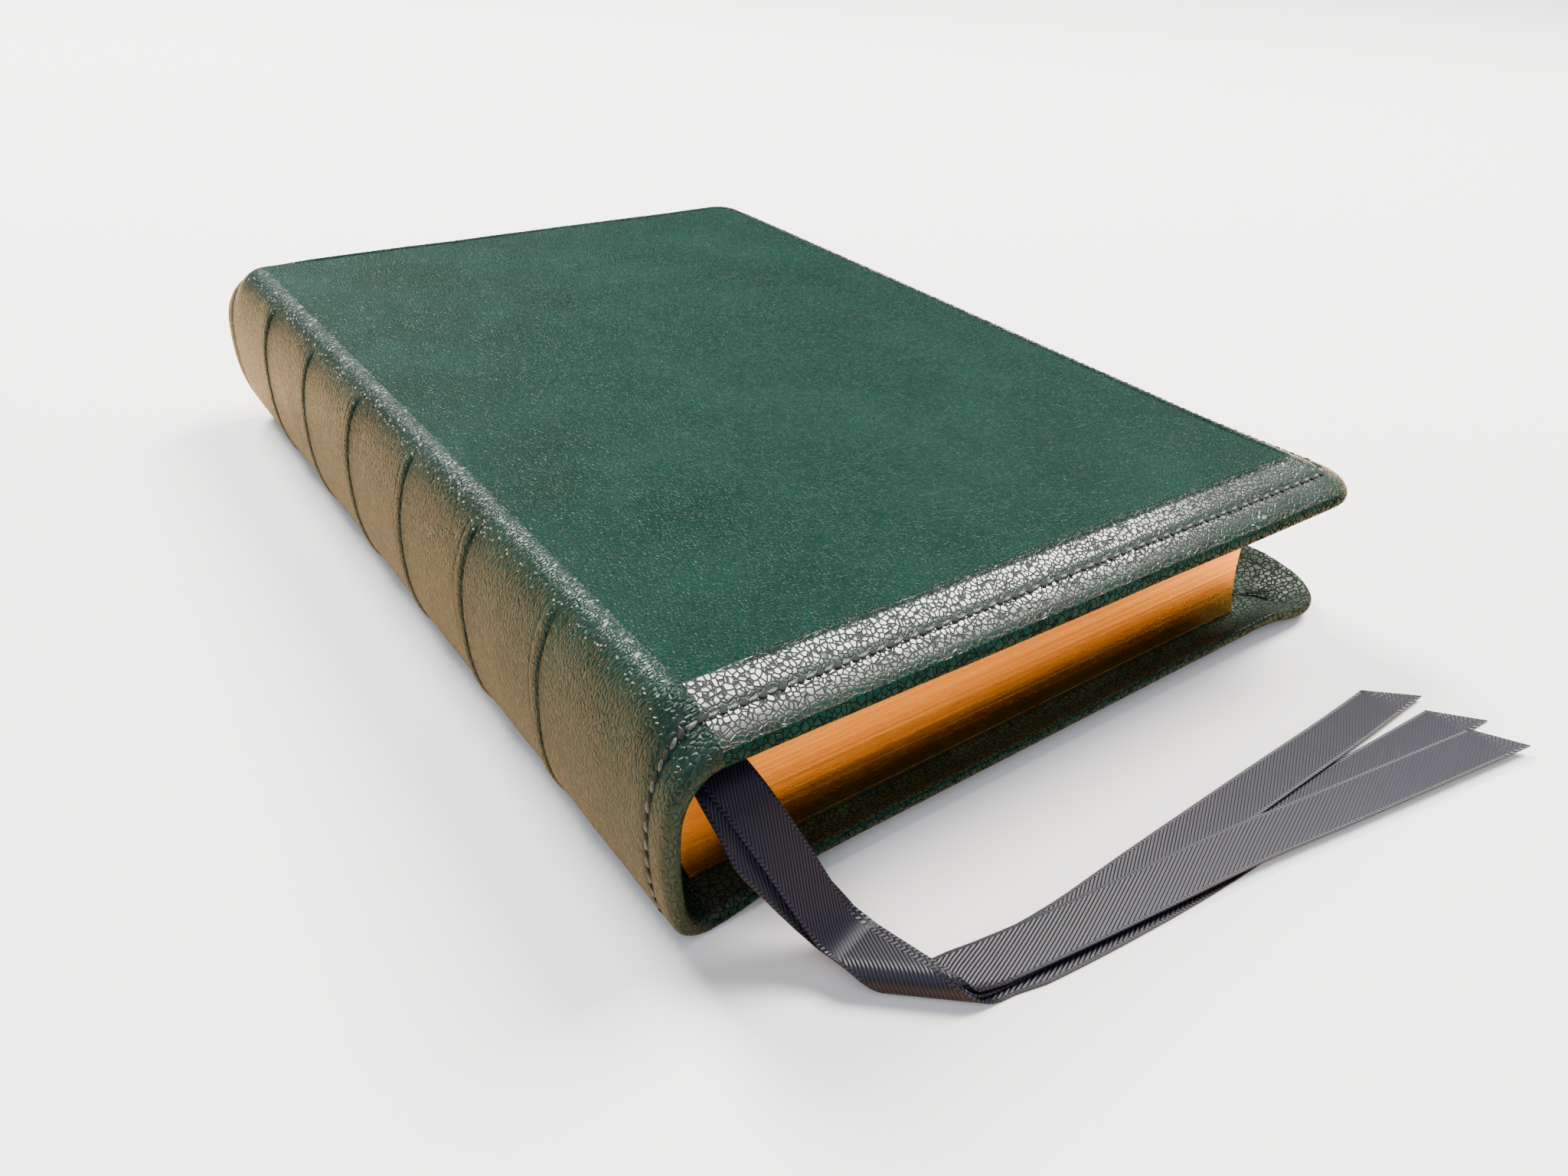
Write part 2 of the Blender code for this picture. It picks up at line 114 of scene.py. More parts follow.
@dataclass(frozen=True)
class BookMeasures:
    """Sizes read from the frame's nodes, in millimetres, and the few that the binding adds."""

    placing: Placing
    hinge_x: float
    height: float
    thickness: float
    front_width: float
    back_width: float
    back_inset: float
    leaf_tail: float
    leaf_head: float
    leaf_levels: tuple
    leaf_fore: float
    creases: tuple
    cover: float = 2.2
    leather: float = 0.8
    taper: float = 0.022
    corner: float = 11.0
    droop: float = 3.5
    bend_power: float = 1.2
    curl: float = 3.2
    turn_in: float = 8.4
    stitch_inset: float = 3.6
    spine_power: float = 2.2
    back_arc_x: float = 4.8
    back_arc: float = 2.4

    @classmethod
    def read(cls) -> "BookMeasures":
        """Read the frame's boxes.

        Returns:
            The book's measures in the drawing's units.
        """
        spine_low, spine_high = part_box("spine_leather")
        placing = Placing(Vector((spine_low.x, spine_low.y, spine_low.z)))
        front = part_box("front_cover_leather")
        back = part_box("back_cover_leather")
        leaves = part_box("leaf_section_1")
        levels = tuple(tuple(placing.size(corner.z, 2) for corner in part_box(name)) for name in LEAF_NODES)
        half_gap = 0.125
        bands = [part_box(f"raised_band_{k}") for k in range(1, 7)]
        creases = tuple(placing.size((low.y + high.y) / 2, 1) - 1.0 for low, high in bands)
        return cls(
            placing=placing,
            hinge_x=placing.size(spine_high.x, 0) + half_gap,
            height=placing.size(spine_high.y, 1),
            thickness=placing.size(spine_high.z, 2),
            front_width=placing.size(front[1].x, 0),
            back_width=placing.size(back[1].x, 0),
            back_inset=placing.size(back[0].y, 1),
            leaf_tail=placing.size(leaves[0].y, 1),
            leaf_head=placing.size(leaves[1].y, 1),
            leaf_levels=levels,
            leaf_fore=placing.size(leaves[1].x, 0),
            creases=creases,
        )

    @property
    def half(self) -> float:
        """Half the book's thickness."""
        return self.thickness / 2


def smooth_step(low: float, high: float, value: float) -> float:
    """A soft step from 0 at low to 1 at high."""
    t = min(max((value - low) / (high - low), 0.0), 1.0)
    return t * t * (3 - 2 * t)


def ripple(x: float, y: float, z: float, size: float) -> float:
    """Smooth noise from -1 to 1 with features of about this size."""
    return noise.noise(Vector((x, y, z)) / size)


# --- mesh helpers


def lattice(columns: int, rows: int, place: Place, tag: Optional[Place] = None) -> BMesh:
    """A grid of points, each moved to its place.

    Args:
        columns: Faces along the first parameter.
        rows: Faces along the second parameter.
        place: Gives a point from column and row numbers.
        tag: Gives (run, inset, depth) in millimetres for the same numbers, kept as attributes.

    Returns:
        The grid as an open bmesh.
    """
    bm = bmesh.new()
    run = bm.verts.layers.float.new("edge_run")
    inset = bm.verts.layers.float.new("edge_inset")
    depth = bm.verts.layers.float.new("wall_depth")
    bmesh.ops.create_grid(bm, x_segments=columns, y_segments=rows, size=0.5)
    for vert in bm.verts:
        i = (vert.co.x + 0.5) * columns
        j = (vert.co.y + 0.5) * rows
        vert.co = place(i, j)
        if tag:
            vert[run], vert[inset], vert[depth] = tag(i, j)
    return bm


def close_up(bm: BMesh, distance: float = 0.0005) -> None:
    """Merge a lattice's doubled points, close its open ends and turn its faces outwards."""
    bmesh.ops.remove_doubles(bm, verts=bm.verts, dist=distance)
    bmesh.ops.dissolve_degenerate(bm, dist=1e-6, edges=bm.edges)
    rim = [edge for edge in bm.edges if edge.is_boundary]
    if rim:
        bmesh.ops.holes_fill(bm, edges=rim, sides=0)
    bmesh.ops.recalc_face_normals(bm, faces=bm.faces)


def path_lengths(points: Sequence[Vector]) -> list:
    """The distance along a path to each of its points."""
    lengths = [0.0]
    for a, b in zip(points, points[1:]):
        lengths.append(lengths[-1] + (b - a).length)
    return lengths


def link_object(name: str, data: bpy.types.ID) -> Object:
    """A new object in the scene for a mesh, lamp or camera."""
    item = bpy.data.objects.new(name, data)
    bpy.context.scene.collection.objects.link(item)
    return item


def make_piece(name: str, bm: BMesh, placing: Placing, materials: Sequence[Material]) -> Object:
    """Turn a drawing bmesh into a smooth-shaded object at the origin, sharp only at its corners and rims.

    Args:
        name: The piece's name.
        bm: The mesh in drawing millimetres, freed here.
        placing: Turns drawing points into the frame's.
        materials: The piece's material slots in order.

    Returns:
        The new object, linked to the scene.
    """
    for vert in bm.verts:
        vert.co = placing.point(vert.co)
    for face in bm.faces:
        face.smooth = True
    bm.edges.index_update()
    rim = [edge.index for edge in bm.edges if edge.is_boundary]
    mesh = bpy.data.meshes.new(name)
    bm.to_mesh(mesh)
    bm.free()
    mesh.set_sharp_from_angle(angle=math.radians(50))
    for index in rim:
        mesh.edges[index].use_edge_sharp = True
    for material in materials:
        mesh.materials.append(material)
    return link_object(name, mesh)


def settle(piece: Object, body: Body, nodes: Iterable[str]) -> Object:
    """Ride a piece on its body, let it stand for its frame nodes, and report it."""
    if "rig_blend" not in piece:
        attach(piece, body.value)
    nodes = list(nodes)
    if nodes:
        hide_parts(*nodes)
    log.info("%s rides on %s and stands for %s", piece.name, body.value, ", ".join(nodes) or "nothing")
    return piece


# --- finishes


def linear(hex_code: str) -> tuple:
    """An sRGB hex value as linear red, green, blue and alpha."""
    parts = [int(hex_code.lstrip("#")[k:k + 2], 16) / 255 for k in (0, 2, 4)]
    return tuple(c / 12.92 if c <= 0.04045 else ((c + 0.055) / 1.055) ** 2.4 for c in parts) + (1.0,)


def join(node: Node, **links) -> Node:
    """Link sources to a node's inputs.

    Args:
        node: The node to link to.
        links: Sockets, or nodes for their first output, by input name with spaces as underscores, or
            i0, i1 for numbers.

    Returns:
        The same node.
    """
    for key, source in links.items():
        socket = source.outputs[0] if isinstance(source, Node) else source
        target = node.inputs[int(key[1:]) if key[1:].isdigit() else key.replace("_", " ")]
        node.id_data.links.new(socket, target)
    return node


def add_node(tree: NodeTree, kind: str, settings: Optional[dict] = None, **links) -> Node:
    """Add a node with its settings and links.

    Args:
        tree: The material's node tree.
        kind: The node's type name without its ShaderNode prefix.
        settings: Values by property or input name; an input may be given by its number.
        links: What to link, as in join.

    Returns:
        The new node.
    """
    node = tree.nodes.new("ShaderNode" + kind)
    for key, value in (settings or {}).items():
        if isinstance(key, str) and hasattr(node, key):
            setattr(node, key, value)
        else:
            node.inputs[key].default_value = value
    return join(node, **links)


def new_material(name: str, **shader_values) -> tuple:
    """A material with its Principled shader's constant values set.

    Args:
        name: The material's name.
        shader_values: Constant values by input name with spaces as underscores.

    Returns:
        The material, its node tree and its Principled node.
    """
    material = bpy.data.materials.new(name)
    material.use_nodes = True
    shader = material.node_tree.nodes["Principled BSDF"]
    for key, value in shader_values.items():
        shader.inputs[key.replace("_", " ")].default_value = value
    return material, material.node_tree, shader


def ramp_colours(node: Node, stops: Sequence[tuple]) -> Node:
    """Set a colour ramp's stops from (position, hex) pairs."""
    elements = node.color_ramp.elements
    while len(elements) < len(stops):
        elements.new(0.5)
    for element, (position, hex_code) in zip(elements, stops):
        element.position = position
        element.color = linear(hex_code)
    return node


@dataclass(frozen=True)
class GrainedLeather:
    """Vegetable-tanned goatskin, plated and waxed: shallow pebbles, darkened in the pits by painted shade, a
    soft gloss.

    Real pebbles are 0.3 to 0.7 mm across. Along the turned-in edge the doubled leather is stretched,
    which opens the pebbles and polishes their tops.
    """

    name: str
    pit: str
    body: str
    crown: str
    grain: float = 0.55
    edge_grain: float = 0.85
    stretch: tuple = (1.0, 1.0, 1.0)
    depth: float = 0.035
    edge_depth: float = 0.13
    edge_reach: float = 7.2
    roughness: float = 0.46
    edge_roughness: float = 0.3
    gloss: float = 0.4
    cloud: float = 16.0
    wander: float = 0.7

    def make(self) -> Material:
        """Build the material. The ranges below are shares of a pebble's width, in from its groove."""
        material, tree, shader = new_material(self.name, Specular_IOR_Level=self.gloss, IOR=1.5)
        where = add_node(tree, "TexCoord").outputs["Object"]
        swirl = add_node(tree, "TexNoise", {"Scale": 1 / (3.0 * MM), "Detail": 2.0}, Vector=where)
        push = add_node(tree, "VectorMath", {"operation": "SCALE", "Scale": self.wander * MM},
                        i0=swirl.outputs["Color"])
        moved = add_node(tree, "VectorMath", {"operation": "ADD"}, i0=where, i1=push)
        drawn = add_node(tree, "Mapping", {"Scale": self.stretch}, Vector=moved)
        inset = add_node(tree, "Attribute", {"attribute_name": "edge_inset"}).outputs["Fac"]
        edge = add_node(tree, "MapRange", {"From Min": self.edge_reach, "From Max": self.edge_reach - 0.5},
                        Value=inset)
        fine, wide = (
            add_node(tree, "TexVoronoi", {"feature": "DISTANCE_TO_EDGE", "Scale": 1 / (size * MM)},
                     Vector=drawn)
            for size in (self.grain, self.edge_grain)
        )

        def both(panel: dict, strip: dict) -> Node:
            """The panel's pebbles mapped one way and the edge strip's another."""
            on_panel = add_node(tree, "MapRange", panel, Value=fine)
            on_strip = add_node(tree, "MapRange", strip, Value=wide)
            return add_node(tree, "Mix", {}, Factor=edge, A=on_panel, B=on_strip)

        soft = {"interpolation_type": "SMOOTHSTEP"}
        rise = both({**soft, "From Max": 0.28, "To Max": self.depth / self.edge_depth},
                    {**soft, "From Max": 0.16})
        bump = add_node(tree, "Bump", {"Strength": 1.0, "Distance": self.edge_depth * MM}, Height=rise)
        cloud = add_node(tree, "TexNoise", {"Scale": 1 / (self.cloud * MM), "Detail": 6.0, "Roughness": 0.6},
                         Vector=where)
        tone = ramp_colours(add_node(tree, "ValToRGB", {}, Fac=cloud),
                            [(0.32, self.pit), (0.5, self.body), (0.72, self.crown)])
        # Painted shade: the base colour darkens into each pebble's groove, on the edge strip down to a
        # tenth; the strip's pebble tops are lifted a little above it as a painted highlight.
        shade = both({"From Max": 0.22, "To Min": 0.55, "To Max": 1.0},
                     {"From Max": 0.13, "To Min": 0.1, "To Max": 1.1})
        tint = add_node(tree, "VectorMath", {"operation": "SCALE"}, i0=tone, Scale=shade)
        # The strip's grooves are dull and its pebbles' tops polished, which makes them glint apart.
        plate = add_node(tree, "MapRange", {"From Min": 0.015, "From Max": 0.12, "To Min": 1.0,
                                            "To Max": self.edge_roughness}, Value=wide)
        polish = add_node(tree, "Mix", {"A": self.roughness}, Factor=edge, B=plate)
        wear = add_node(tree, "MapRange", {"To Min": -0.06, "To Max": 0.06}, Value=cloud)
        rough = add_node(tree, "Math", {"operation": "ADD"}, i0=polish, i1=wear)
        join(shader, Base_Color=tint, Normal=bump, Roughness=rough)
        return material


@dataclass(frozen=True)
class GiltEdge:
    """Gold leaf burnished on the edges of a clamped block of thin paper.

    The metal mirrors what is near; the leaves' edges make fine level lines in it, and grit makes sparks.
    """

    name: str = "burnished gilt edge"
    gold: str = "#ffbc48"
    worn: str = "#f89c36"
    page: float = 0.2
    grit: float = 0.22
    roughness: float = 0.28

    def make(self) -> Material:
        """Build the material. Real leaves are 0.04 mm; the lines are drawn five times coarser to show."""
        material, tree, shader = new_material(self.name, Metallic=1.0)
        where = add_node(tree, "TexCoord").outputs["Object"]
        flat = add_node(tree, "Mapping", {"Scale": (0.004, 0.004, 1.0)}, Vector=where)
        lines = add_node(tree, "TexNoise", {"Scale": 1 / (self.page * MM), "Detail": 3.0, "Roughness": 0.7},
                         Vector=flat)
        grit = add_node(tree, "TexNoise", {"Scale": 1 / (self.grit * MM), "Detail": 1.0}, Vector=where)
        sparks = add_node(tree, "MapRange", {"From Min": 0.55, "From Max": 0.75, "To Max": 0.8}, Value=grit)
        rise = add_node(tree, "Math", {"operation": "ADD"}, i0=lines, i1=sparks)
        bump = add_node(tree, "Bump", {"Strength": 0.8, "Distance": 0.035 * MM}, Height=rise)
        tone = ramp_colours(add_node(tree, "ValToRGB", {}, Fac=lines), [(0.35, self.worn), (0.6, self.gold)])
        rough = add_node(tree, "MapRange", {"To Min": self.roughness + 0.1, "To Max": self.roughness - 0.06},
                         Value=lines)
        join(shader, Base_Color=tone, Normal=bump, Roughness=rough)
        return material


@dataclass(frozen=True)
class SatinRibbon:
    """Double-face black satin: long floats lie in a steep twill, so it glows grey along the light.

    Real floats are 0.15 mm apart; they are drawn at 0.42 mm to show. The selvedges are knotted ticks.
    """

    name: str = "black satin ribbon"
    thread: str = "#202030"
    valley_shade: str = "#030306"
    float_pitch: float = 0.42
    float_slant: float = 0.55
    tick_pitch: float = 0.5
    tick_slant: float = -0.6
    selvedge: float = 2.45

    def make(self) -> Material:
        """Build the material on the ribbon's own run and inset attributes, both in millimetres."""
        material, tree, shader = new_material(
            self.name, Roughness=0.38, Specular_IOR_Level=0.24, Sheen_Weight=0.04, Sheen_Roughness=0.4,
            Sheen_Tint=linear("#b9bcd0"),
        )
        run, across = (add_node(tree, "Attribute", {"attribute_name": name}).outputs["Fac"]
                       for name in ("edge_run", "edge_inset"))

        def threads(first: NodeSocket, slant: float, second: NodeSocket, pitch: float) -> Node:
            """Slanted rows of thread: a sine of one distance times the slant plus the other."""
            sum_up = add_node(tree, "Math", {"operation": "MULTIPLY_ADD", 1: slant}, i0=first, i2=second)
            turns = add_node(tree, "Math", {"operation": "MULTIPLY", 1: 2 * math.pi / pitch}, i0=sum_up)
            return add_node(tree, "Math", {"operation": "SINE"}, i0=turns)

        wave = threads(run, self.float_slant, across, self.float_pitch)
        tick = threads(across, self.tick_slant, run, self.tick_pitch)
        out = add_node(tree, "Math", {"operation": "ABSOLUTE"}, i0=across)
        border = add_node(tree, "Math", {"operation": "GREATER_THAN", 1: self.selvedge}, i0=out)
        weave = add_node(tree, "Mix", {}, Factor=border, A=wave, B=tick)
        rise = add_node(tree, "MapRange", {"From Min": -1.0}, Value=weave)
        bump = add_node(tree, "Bump", {"Strength": 0.8, "Distance": 0.05 * MM}, Height=rise)
        # Painted shade: the base colour follows the weave's height, near black in the valleys between floats
        # and ticks.
        tone = ramp_colours(add_node(tree, "ValToRGB", {}, Fac=rise),
                            [(0.15, self.valley_shade), (0.85, self.thread)])
        join(shader, Base_Color=tone, Normal=bump)
        return material


@dataclass(frozen=True)
class PlainStuff:
    """A matt working material with cloudy colour and a little tooth: thread, card, cord, cloth or paper."""

    name: str
    dark: str
    light: str
    feature: float
    roughness: float
    tooth: float = 0.03
    strength: float = 0.6
    detail: float = 4.0
    crispness: float = 0.5
    specular: float = 0.5

    def make(self) -> Material:
        """Build the material."""
        material, tree, shader = new_material(self.name, Roughness=self.roughness,
                                              Specular_IOR_Level=self.specular)
        where = add_node(tree, "TexCoord").outputs["Object"]
        cloud = add_node(tree, "TexNoise", {"Scale": 1 / (self.feature * MM), "Detail": self.detail,
                                            "Roughness": self.crispness}, Vector=where)
        tone = ramp_colours(add_node(tree, "ValToRGB", {}, Fac=cloud), [(0.3, self.dark), (0.7, self.light)])
        bump = add_node(tree, "Bump", {"Strength": self.strength, "Distance": self.tooth * MM}, Height=cloud)
        join(shader, Base_Color=tone, Normal=bump)
        return material


@dataclass(frozen=True)
class Finishes:
    """Every material of the book, made once."""

    # Flat panel: small close pebbles and almost no gloss, so it reads as deep green.
    cover: Material = field(default_factory=GrainedLeather(
        "waxed goatskin panel", "#04261c", "#052a21", "#093028", grain=0.5, depth=0.07, edge_depth=0.09,
        roughness=0.4, gloss=0.07).make)
    # Strip over the turn-in: stretched and rubbed bright, so each pebble glints; its grooves get deep
    # painted shade and its pebble tops a slight painted highlight.
    edge: Material = field(default_factory=GrainedLeather(
        "polished goatskin edge", "#0a231b", "#0d2b21", "#123429", edge_grain=0.62, edge_reach=9.0,
        edge_depth=0.1, edge_roughness=0.2, gloss=0.85).make)
    # Spine: pulled over the bands, so its pebbles are larger and drawn out, with a waxy gloss.
    spine: Material = field(default_factory=GrainedLeather(
        "waxed goatskin spine", "#09241b", "#0c2b21", "#11342a", grain=0.78, stretch=(1.0, 1.8, 0.8),
        depth=0.1, edge_reach=0.0, edge_depth=0.14, gloss=0.21, roughness=0.32).make)
    # Lining: unwaxed, duller and browner than the outside.
    inside: Material = field(default_factory=GrainedLeather(
        "goatskin doublure", "#1c2a1e", "#243426", "#30422f", grain=0.8, depth=0.1, edge_reach=8.6,
        edge_grain=0.8, edge_depth=0.12, roughness=0.5, edge_roughness=0.45, gloss=0.2).make)
    gilt: Material = field(default_factory=GiltEdge().make)
    # Thin uncoated paper: warm white, matt, faintly clouded by its fibres.
    paper: Material = field(default_factory=PlainStuff(
        "uncoated book paper", "#e2d5b8", "#efe6d0", 5.0, 0.85, 0.02, 0.4, 7.0, 0.65, 0.3).make)
    satin: Material = field(default_factory=SatinRibbon().make)
    # Thread: dark, with the slight shine of its wax.
    thread: Material = field(default_factory=PlainStuff(
        "waxed linen thread", "#1e2624", "#424d49", 0.3, 0.4).make)
    # Painted shadow: the awl holes are small raised beads coloured near black for the shade inside them.
    hole_shadow: Material = field(default_factory=PlainStuff(
        "awl hole in shadow", "#020303", "#060807", 0.5, 0.9).make)
    # The hidden pieces are all dull: pressed card, open-woven cloth and coarse cord.
    card: Material = field(default_factory=PlainStuff(
        "grey binder's card", "#77736b", "#8f8a80", 0.8, 0.9).make)
    cloth: Material = field(default_factory=PlainStuff(
        "cotton mull", "#c9c2ae", "#ded8c6", 0.6, 0.95, 0.06).make)
    cord: Material = field(default_factory=PlainStuff(
        "hemp band cord", "#8a7550", "#a8916a", 0.5, 0.9, 0.08).make)


# --- the covers


@dataclass
class LeatherCover:
    """One cover's leather: outer face, bent edge strip, rolled edge, turn-in and inner face.

    The tail corners are worn a little sharper than the head's, and flare out towards the fore-edge.
    """

    book: BookMeasures
    side: Side
    finishes: Finishes
    arm_steps: int = 56
    arc_steps: int = 14
    fore_steps: int = 60
    pleats: float = 9.0
    panel_edge: float = 7.35
    lip_at: float = 7.2
    groove_at: float = 7.65
    rim: float = 0.6
    inner_from: float = 1.7
    hinge_gap: float = 0.03
    tail_radius: float = 7.0
    flare: float = 2.4
    back_flare: float = 3.4
    flare_reach: float = 26.0

    @property
    def x1(self) -> float:
        """The fore-edge."""
        return self.book.front_width if self.side is Side.FRONT else self.book.back_width

    @property
    def y0(self) -> float:
        """The tail edge."""
        return 0.0 if self.side is Side.FRONT else self.book.back_inset

    @property
    def reach(self) -> float:
        """Width of the strip that bends, measured from the edge."""
        return self.book.leaf_tail - self.y0 - 0.2

    def bend(self, x: float, y: float, inset: float) -> float:
        """How far the face has bent towards the leaves here.

        Args:
            x: Distance from the spine.
            y: Distance from the tail.
            inset: Distance in from the cover's nearest free edge.

        Returns:
            The bend in millimetres.
        """
        share = max(0.0, (self.reach - inset) / self.reach)
        if self.side is Side.FRONT:
            return self.book.droop * share ** self.book.bend_power
        share **= 1.6
        from_corner = math.hypot(self.x1 - x, min(y - self.y0, self.book.height - self.y0 - y))
        settle_down = smooth_step(2.0, 13.0, from_corner)
        near_spine = smooth_step(self.book.hinge_x, self.book.hinge_x + 15.0, x)
        return self.book.curl * share * near_spine * (0.3 + 0.7 * settle_down)

    def wave(self, x: float, y: float, inset: float) -> float:
        """The limp leather's slight waves, none at the hinge line."""
        free = smooth_step(self.book.hinge_x + 2, self.book.hinge_x + 25, x)
        return free * (0.14 * ripple(x, y, 3.0, 31.0) + 0.05 * ripple(x, y, 9.0, 9.0))

    def ridge(self, x: float, inset: float) -> float:
        """The tooled line where the turn-in ends: a low lip with a furrow inside it, gone at the hinge."""
        lip = 0.24 * math.exp(-((inset - self.lip_at) / 0.2) ** 2)
        furrow = 0.2 * math.exp(-((inset - self.groove_at) / 0.22) ** 2)
        return (lip - furrow) * smooth_step(self.book.hinge_x + 1, self.book.hinge_x + 9, x)

    def furrow(self, inset: float) -> float:
        """The shallow furrow that the stitches pull into the leather."""
        return -0.12 * math.exp(-((inset - self.book.stitch_inset) / 0.5) ** 2)

    def height_at(self, x: float, y: float, inset: float, depth: float) -> float:
        """Height of a point of the cover.

        Args:
            x: Distance from the spine.
            y: Distance from the tail.
            inset: Distance in from the nearest free edge.
            depth: Distance inwards from the outer face.

        Returns:
            Height above the table in millimetres.
        """
        relief = 0.0
        if depth < 0.01:
            relief = self.furrow(inset) + self.ridge(x, inset)
        if self.side is Side.FRONT:
            level = self.book.thickness - self.book.taper * (x - self.book.hinge_x)
            return level - self.bend(x, y, inset) - depth + relief + self.wave(x, y, inset)
        return max(0.02, self.bend(x, y, inset) + depth - min(relief, 0.0) * 0.5)

    def profile(self) -> list:
        """The cover's section as (inset, depth), from the outer middle round the edge to the inner."""
        middle = self.book.height / 2 - self.y0
        rows = [(middle * (1 - k / 13) + 12.5 * k / 13, 0.0) for k in range(14)]
        rows += [(v, 0.0) for v in (11.0, 9.8, 9.0, 8.5, 8.1, 7.9, 7.75, 7.6, 7.45, 7.3, 7.2, 7.1, 7.0)]
        rows += [(v, 0.0) for v in (6.8, 6.5, 6.1, 5.7, 5.3, 4.9, 4.5, 4.2, 3.9, 3.6, 3.3, 3.0, 2.6, 2.2)]
        rows += [(v, 0.0) for v in (1.8, 1.45)]
        half = self.book.cover / 2
        for k in range(11):
            a = math.pi * k / 10
            rows.append((half - half * math.sin(a), half - half * math.cos(a)))
        rows += [(v, self.book.cover) for v in (1.5, 2.0, 2.6, 3.3, 4.0, 4.8, 5.6, 6.4, 7.0, 7.6, 8.1)]
        rows += [(self.book.turn_in - 0.1, self.book.cover - 0.05)]
        rows += [(self.book.turn_in, self.book.cover - 0.2)]
        rows += [(self.book.turn_in + 0.05, self.book.leather), (12.0, self.book.leather)]
        rows += [(12.0 + (middle - 12.0) * k / 5, self.book.leather) for k in range(1, 6)]
        return rows

    def outline(self, inset: float) -> list:
        """A U-shaped path round the free sides at a distance in from the edge.

        Args:
            inset: The distance in from the edge.

        Returns:
            Points (x, y), the same number for every distance.
        """
        radius = max(self.book.corner - inset, 0.4)
        tail = max(self.tail_radius - inset, 0.4)
        right, low = self.x1 - inset, self.y0 + inset
        high = self.book.height - low
        start = self.book.hinge_x + self.hinge_gap
        points = []
        for k in range(self.arm_steps):
            points.append((start + (right - tail - start) * k / self.arm_steps, low))
        for k in range(self.arc_steps + 1):
            a = -math.pi / 2 + math.pi / 2 * k / self.arc_steps
            points.append((right - tail + tail * math.cos(a), low + tail + tail * math.sin(a)))
        for k in range(1, self.fore_steps):
            points.append((right, low + tail + (high - low - tail - radius) * k / self.fore_steps))
        for k in range(self.arc_steps + 1):
            a = math.pi / 2 * k / self.arc_steps
            points.append((right - radius + radius * math.cos(a), high - radius + radius * math.sin(a)))
        for k in range(1, self.arm_steps + 1):
            points.append((right - radius + (start - right + radius) * k / self.arm_steps, high))
        return [self.flared(x, y, inset) for x, y in points]

    def flared(self, x: float, y: float, inset: float) -> tuple:
        """The limp tail corner pushed out a little towards the fore-edge."""
        near = 1 - smooth_step(0.0, self.flare_reach, math.hypot(self.x1 - x, y - self.y0))
        flare = self.flare if self.side is Side.FRONT else self.back_flare
        return x + flare * near * max(0.0, 1 - inset / 9.0), y

    def pleat(self, i: float, inset: float, depth: float) -> float:
        """Gathers of the turned-in leather round the corners, and lumps near the spine."""
        if depth < self.book.cover - 0.3 or inset < 1.6 or inset > self.book.turn_in:
            return 0.0
        rise = math.sin(math.pi * (inset - 1.6) / (self.book.turn_in - 1.6))
        first, second = self.arm_steps, self.arm_steps + self.arc_steps + self.fore_steps
        amount = 0.0
        for start in (first, second):
            t = (i - start) / self.arc_steps
            if -0.25 < t < 1.25:
                fold = abs(math.sin(math.pi * self.pleats * t / 2))
                amount += 0.45 * fold * smooth_step(-0.25, 0.0, t) * (1 - smooth_step(1.0, 1.25, t))
        return -amount * rise

    def build(self) -> Object:
        """Build the leather as one closed skin."""
        rows = self.profile()
        outlines = [self.outline(inset) for inset, _ in rows]
        columns = len(outlines[0]) - 1

        def place(i: float, j: float) -> Vector:
            """The point at this column and row."""
            inset, depth = rows[round(j)]
            x, y = outlines[round(j)][round(i)]
            z = self.height_at(x, y, inset, depth)
            sag = self.pleat(i, inset, depth)
            z += sag if self.side is Side.FRONT else -sag
            if self.side is Side.BACK and depth > 1.0 and inset < self.book.turn_in:
                near = 1 - smooth_step(10.0, 24.0, x)
                z += 0.5 * near * abs(ripple(x, y, 0.0, 2.6)) * smooth_step(1.2, 3.0, inset)
            return Vector((x, y, z))

        def tag(i: float, j: float) -> Vector:
            """The inset and depth at this row; leather needs no run."""
            return Vector((0.0, *rows[round(j)]))

        bm = lattice(columns, len(rows) - 1, place, tag)
        close_up(bm)
        inset, depth = (bm.verts.layers.float[name] for name in ("edge_inset", "wall_depth"))
        for face in bm.faces:
            count = len(face.verts)
            if sum(vert[depth] for vert in face.verts) > self.inner_from * count:
                face.material_index = 2
            elif self.rim < sum(vert[inset] for vert in face.verts) / count < self.panel_edge:
                face.material_index = 1
        piece = make_piece(self.side.value + "_skin", bm, self.book.placing,
                           [self.finishes.cover, self.finishes.edge, self.finishes.inside])
        return settle(piece, Body(self.side.value), [self.side.value + "_leather"])

    def stitch_line(self) -> list:
        """The stitches' line on the outer face."""
        inset = self.book.stitch_inset
        outline = self.outline(inset)
        return [Vector((x, y, self.height_at(x, y, inset, 0.0))) for x, y in outline]


# --- the spine


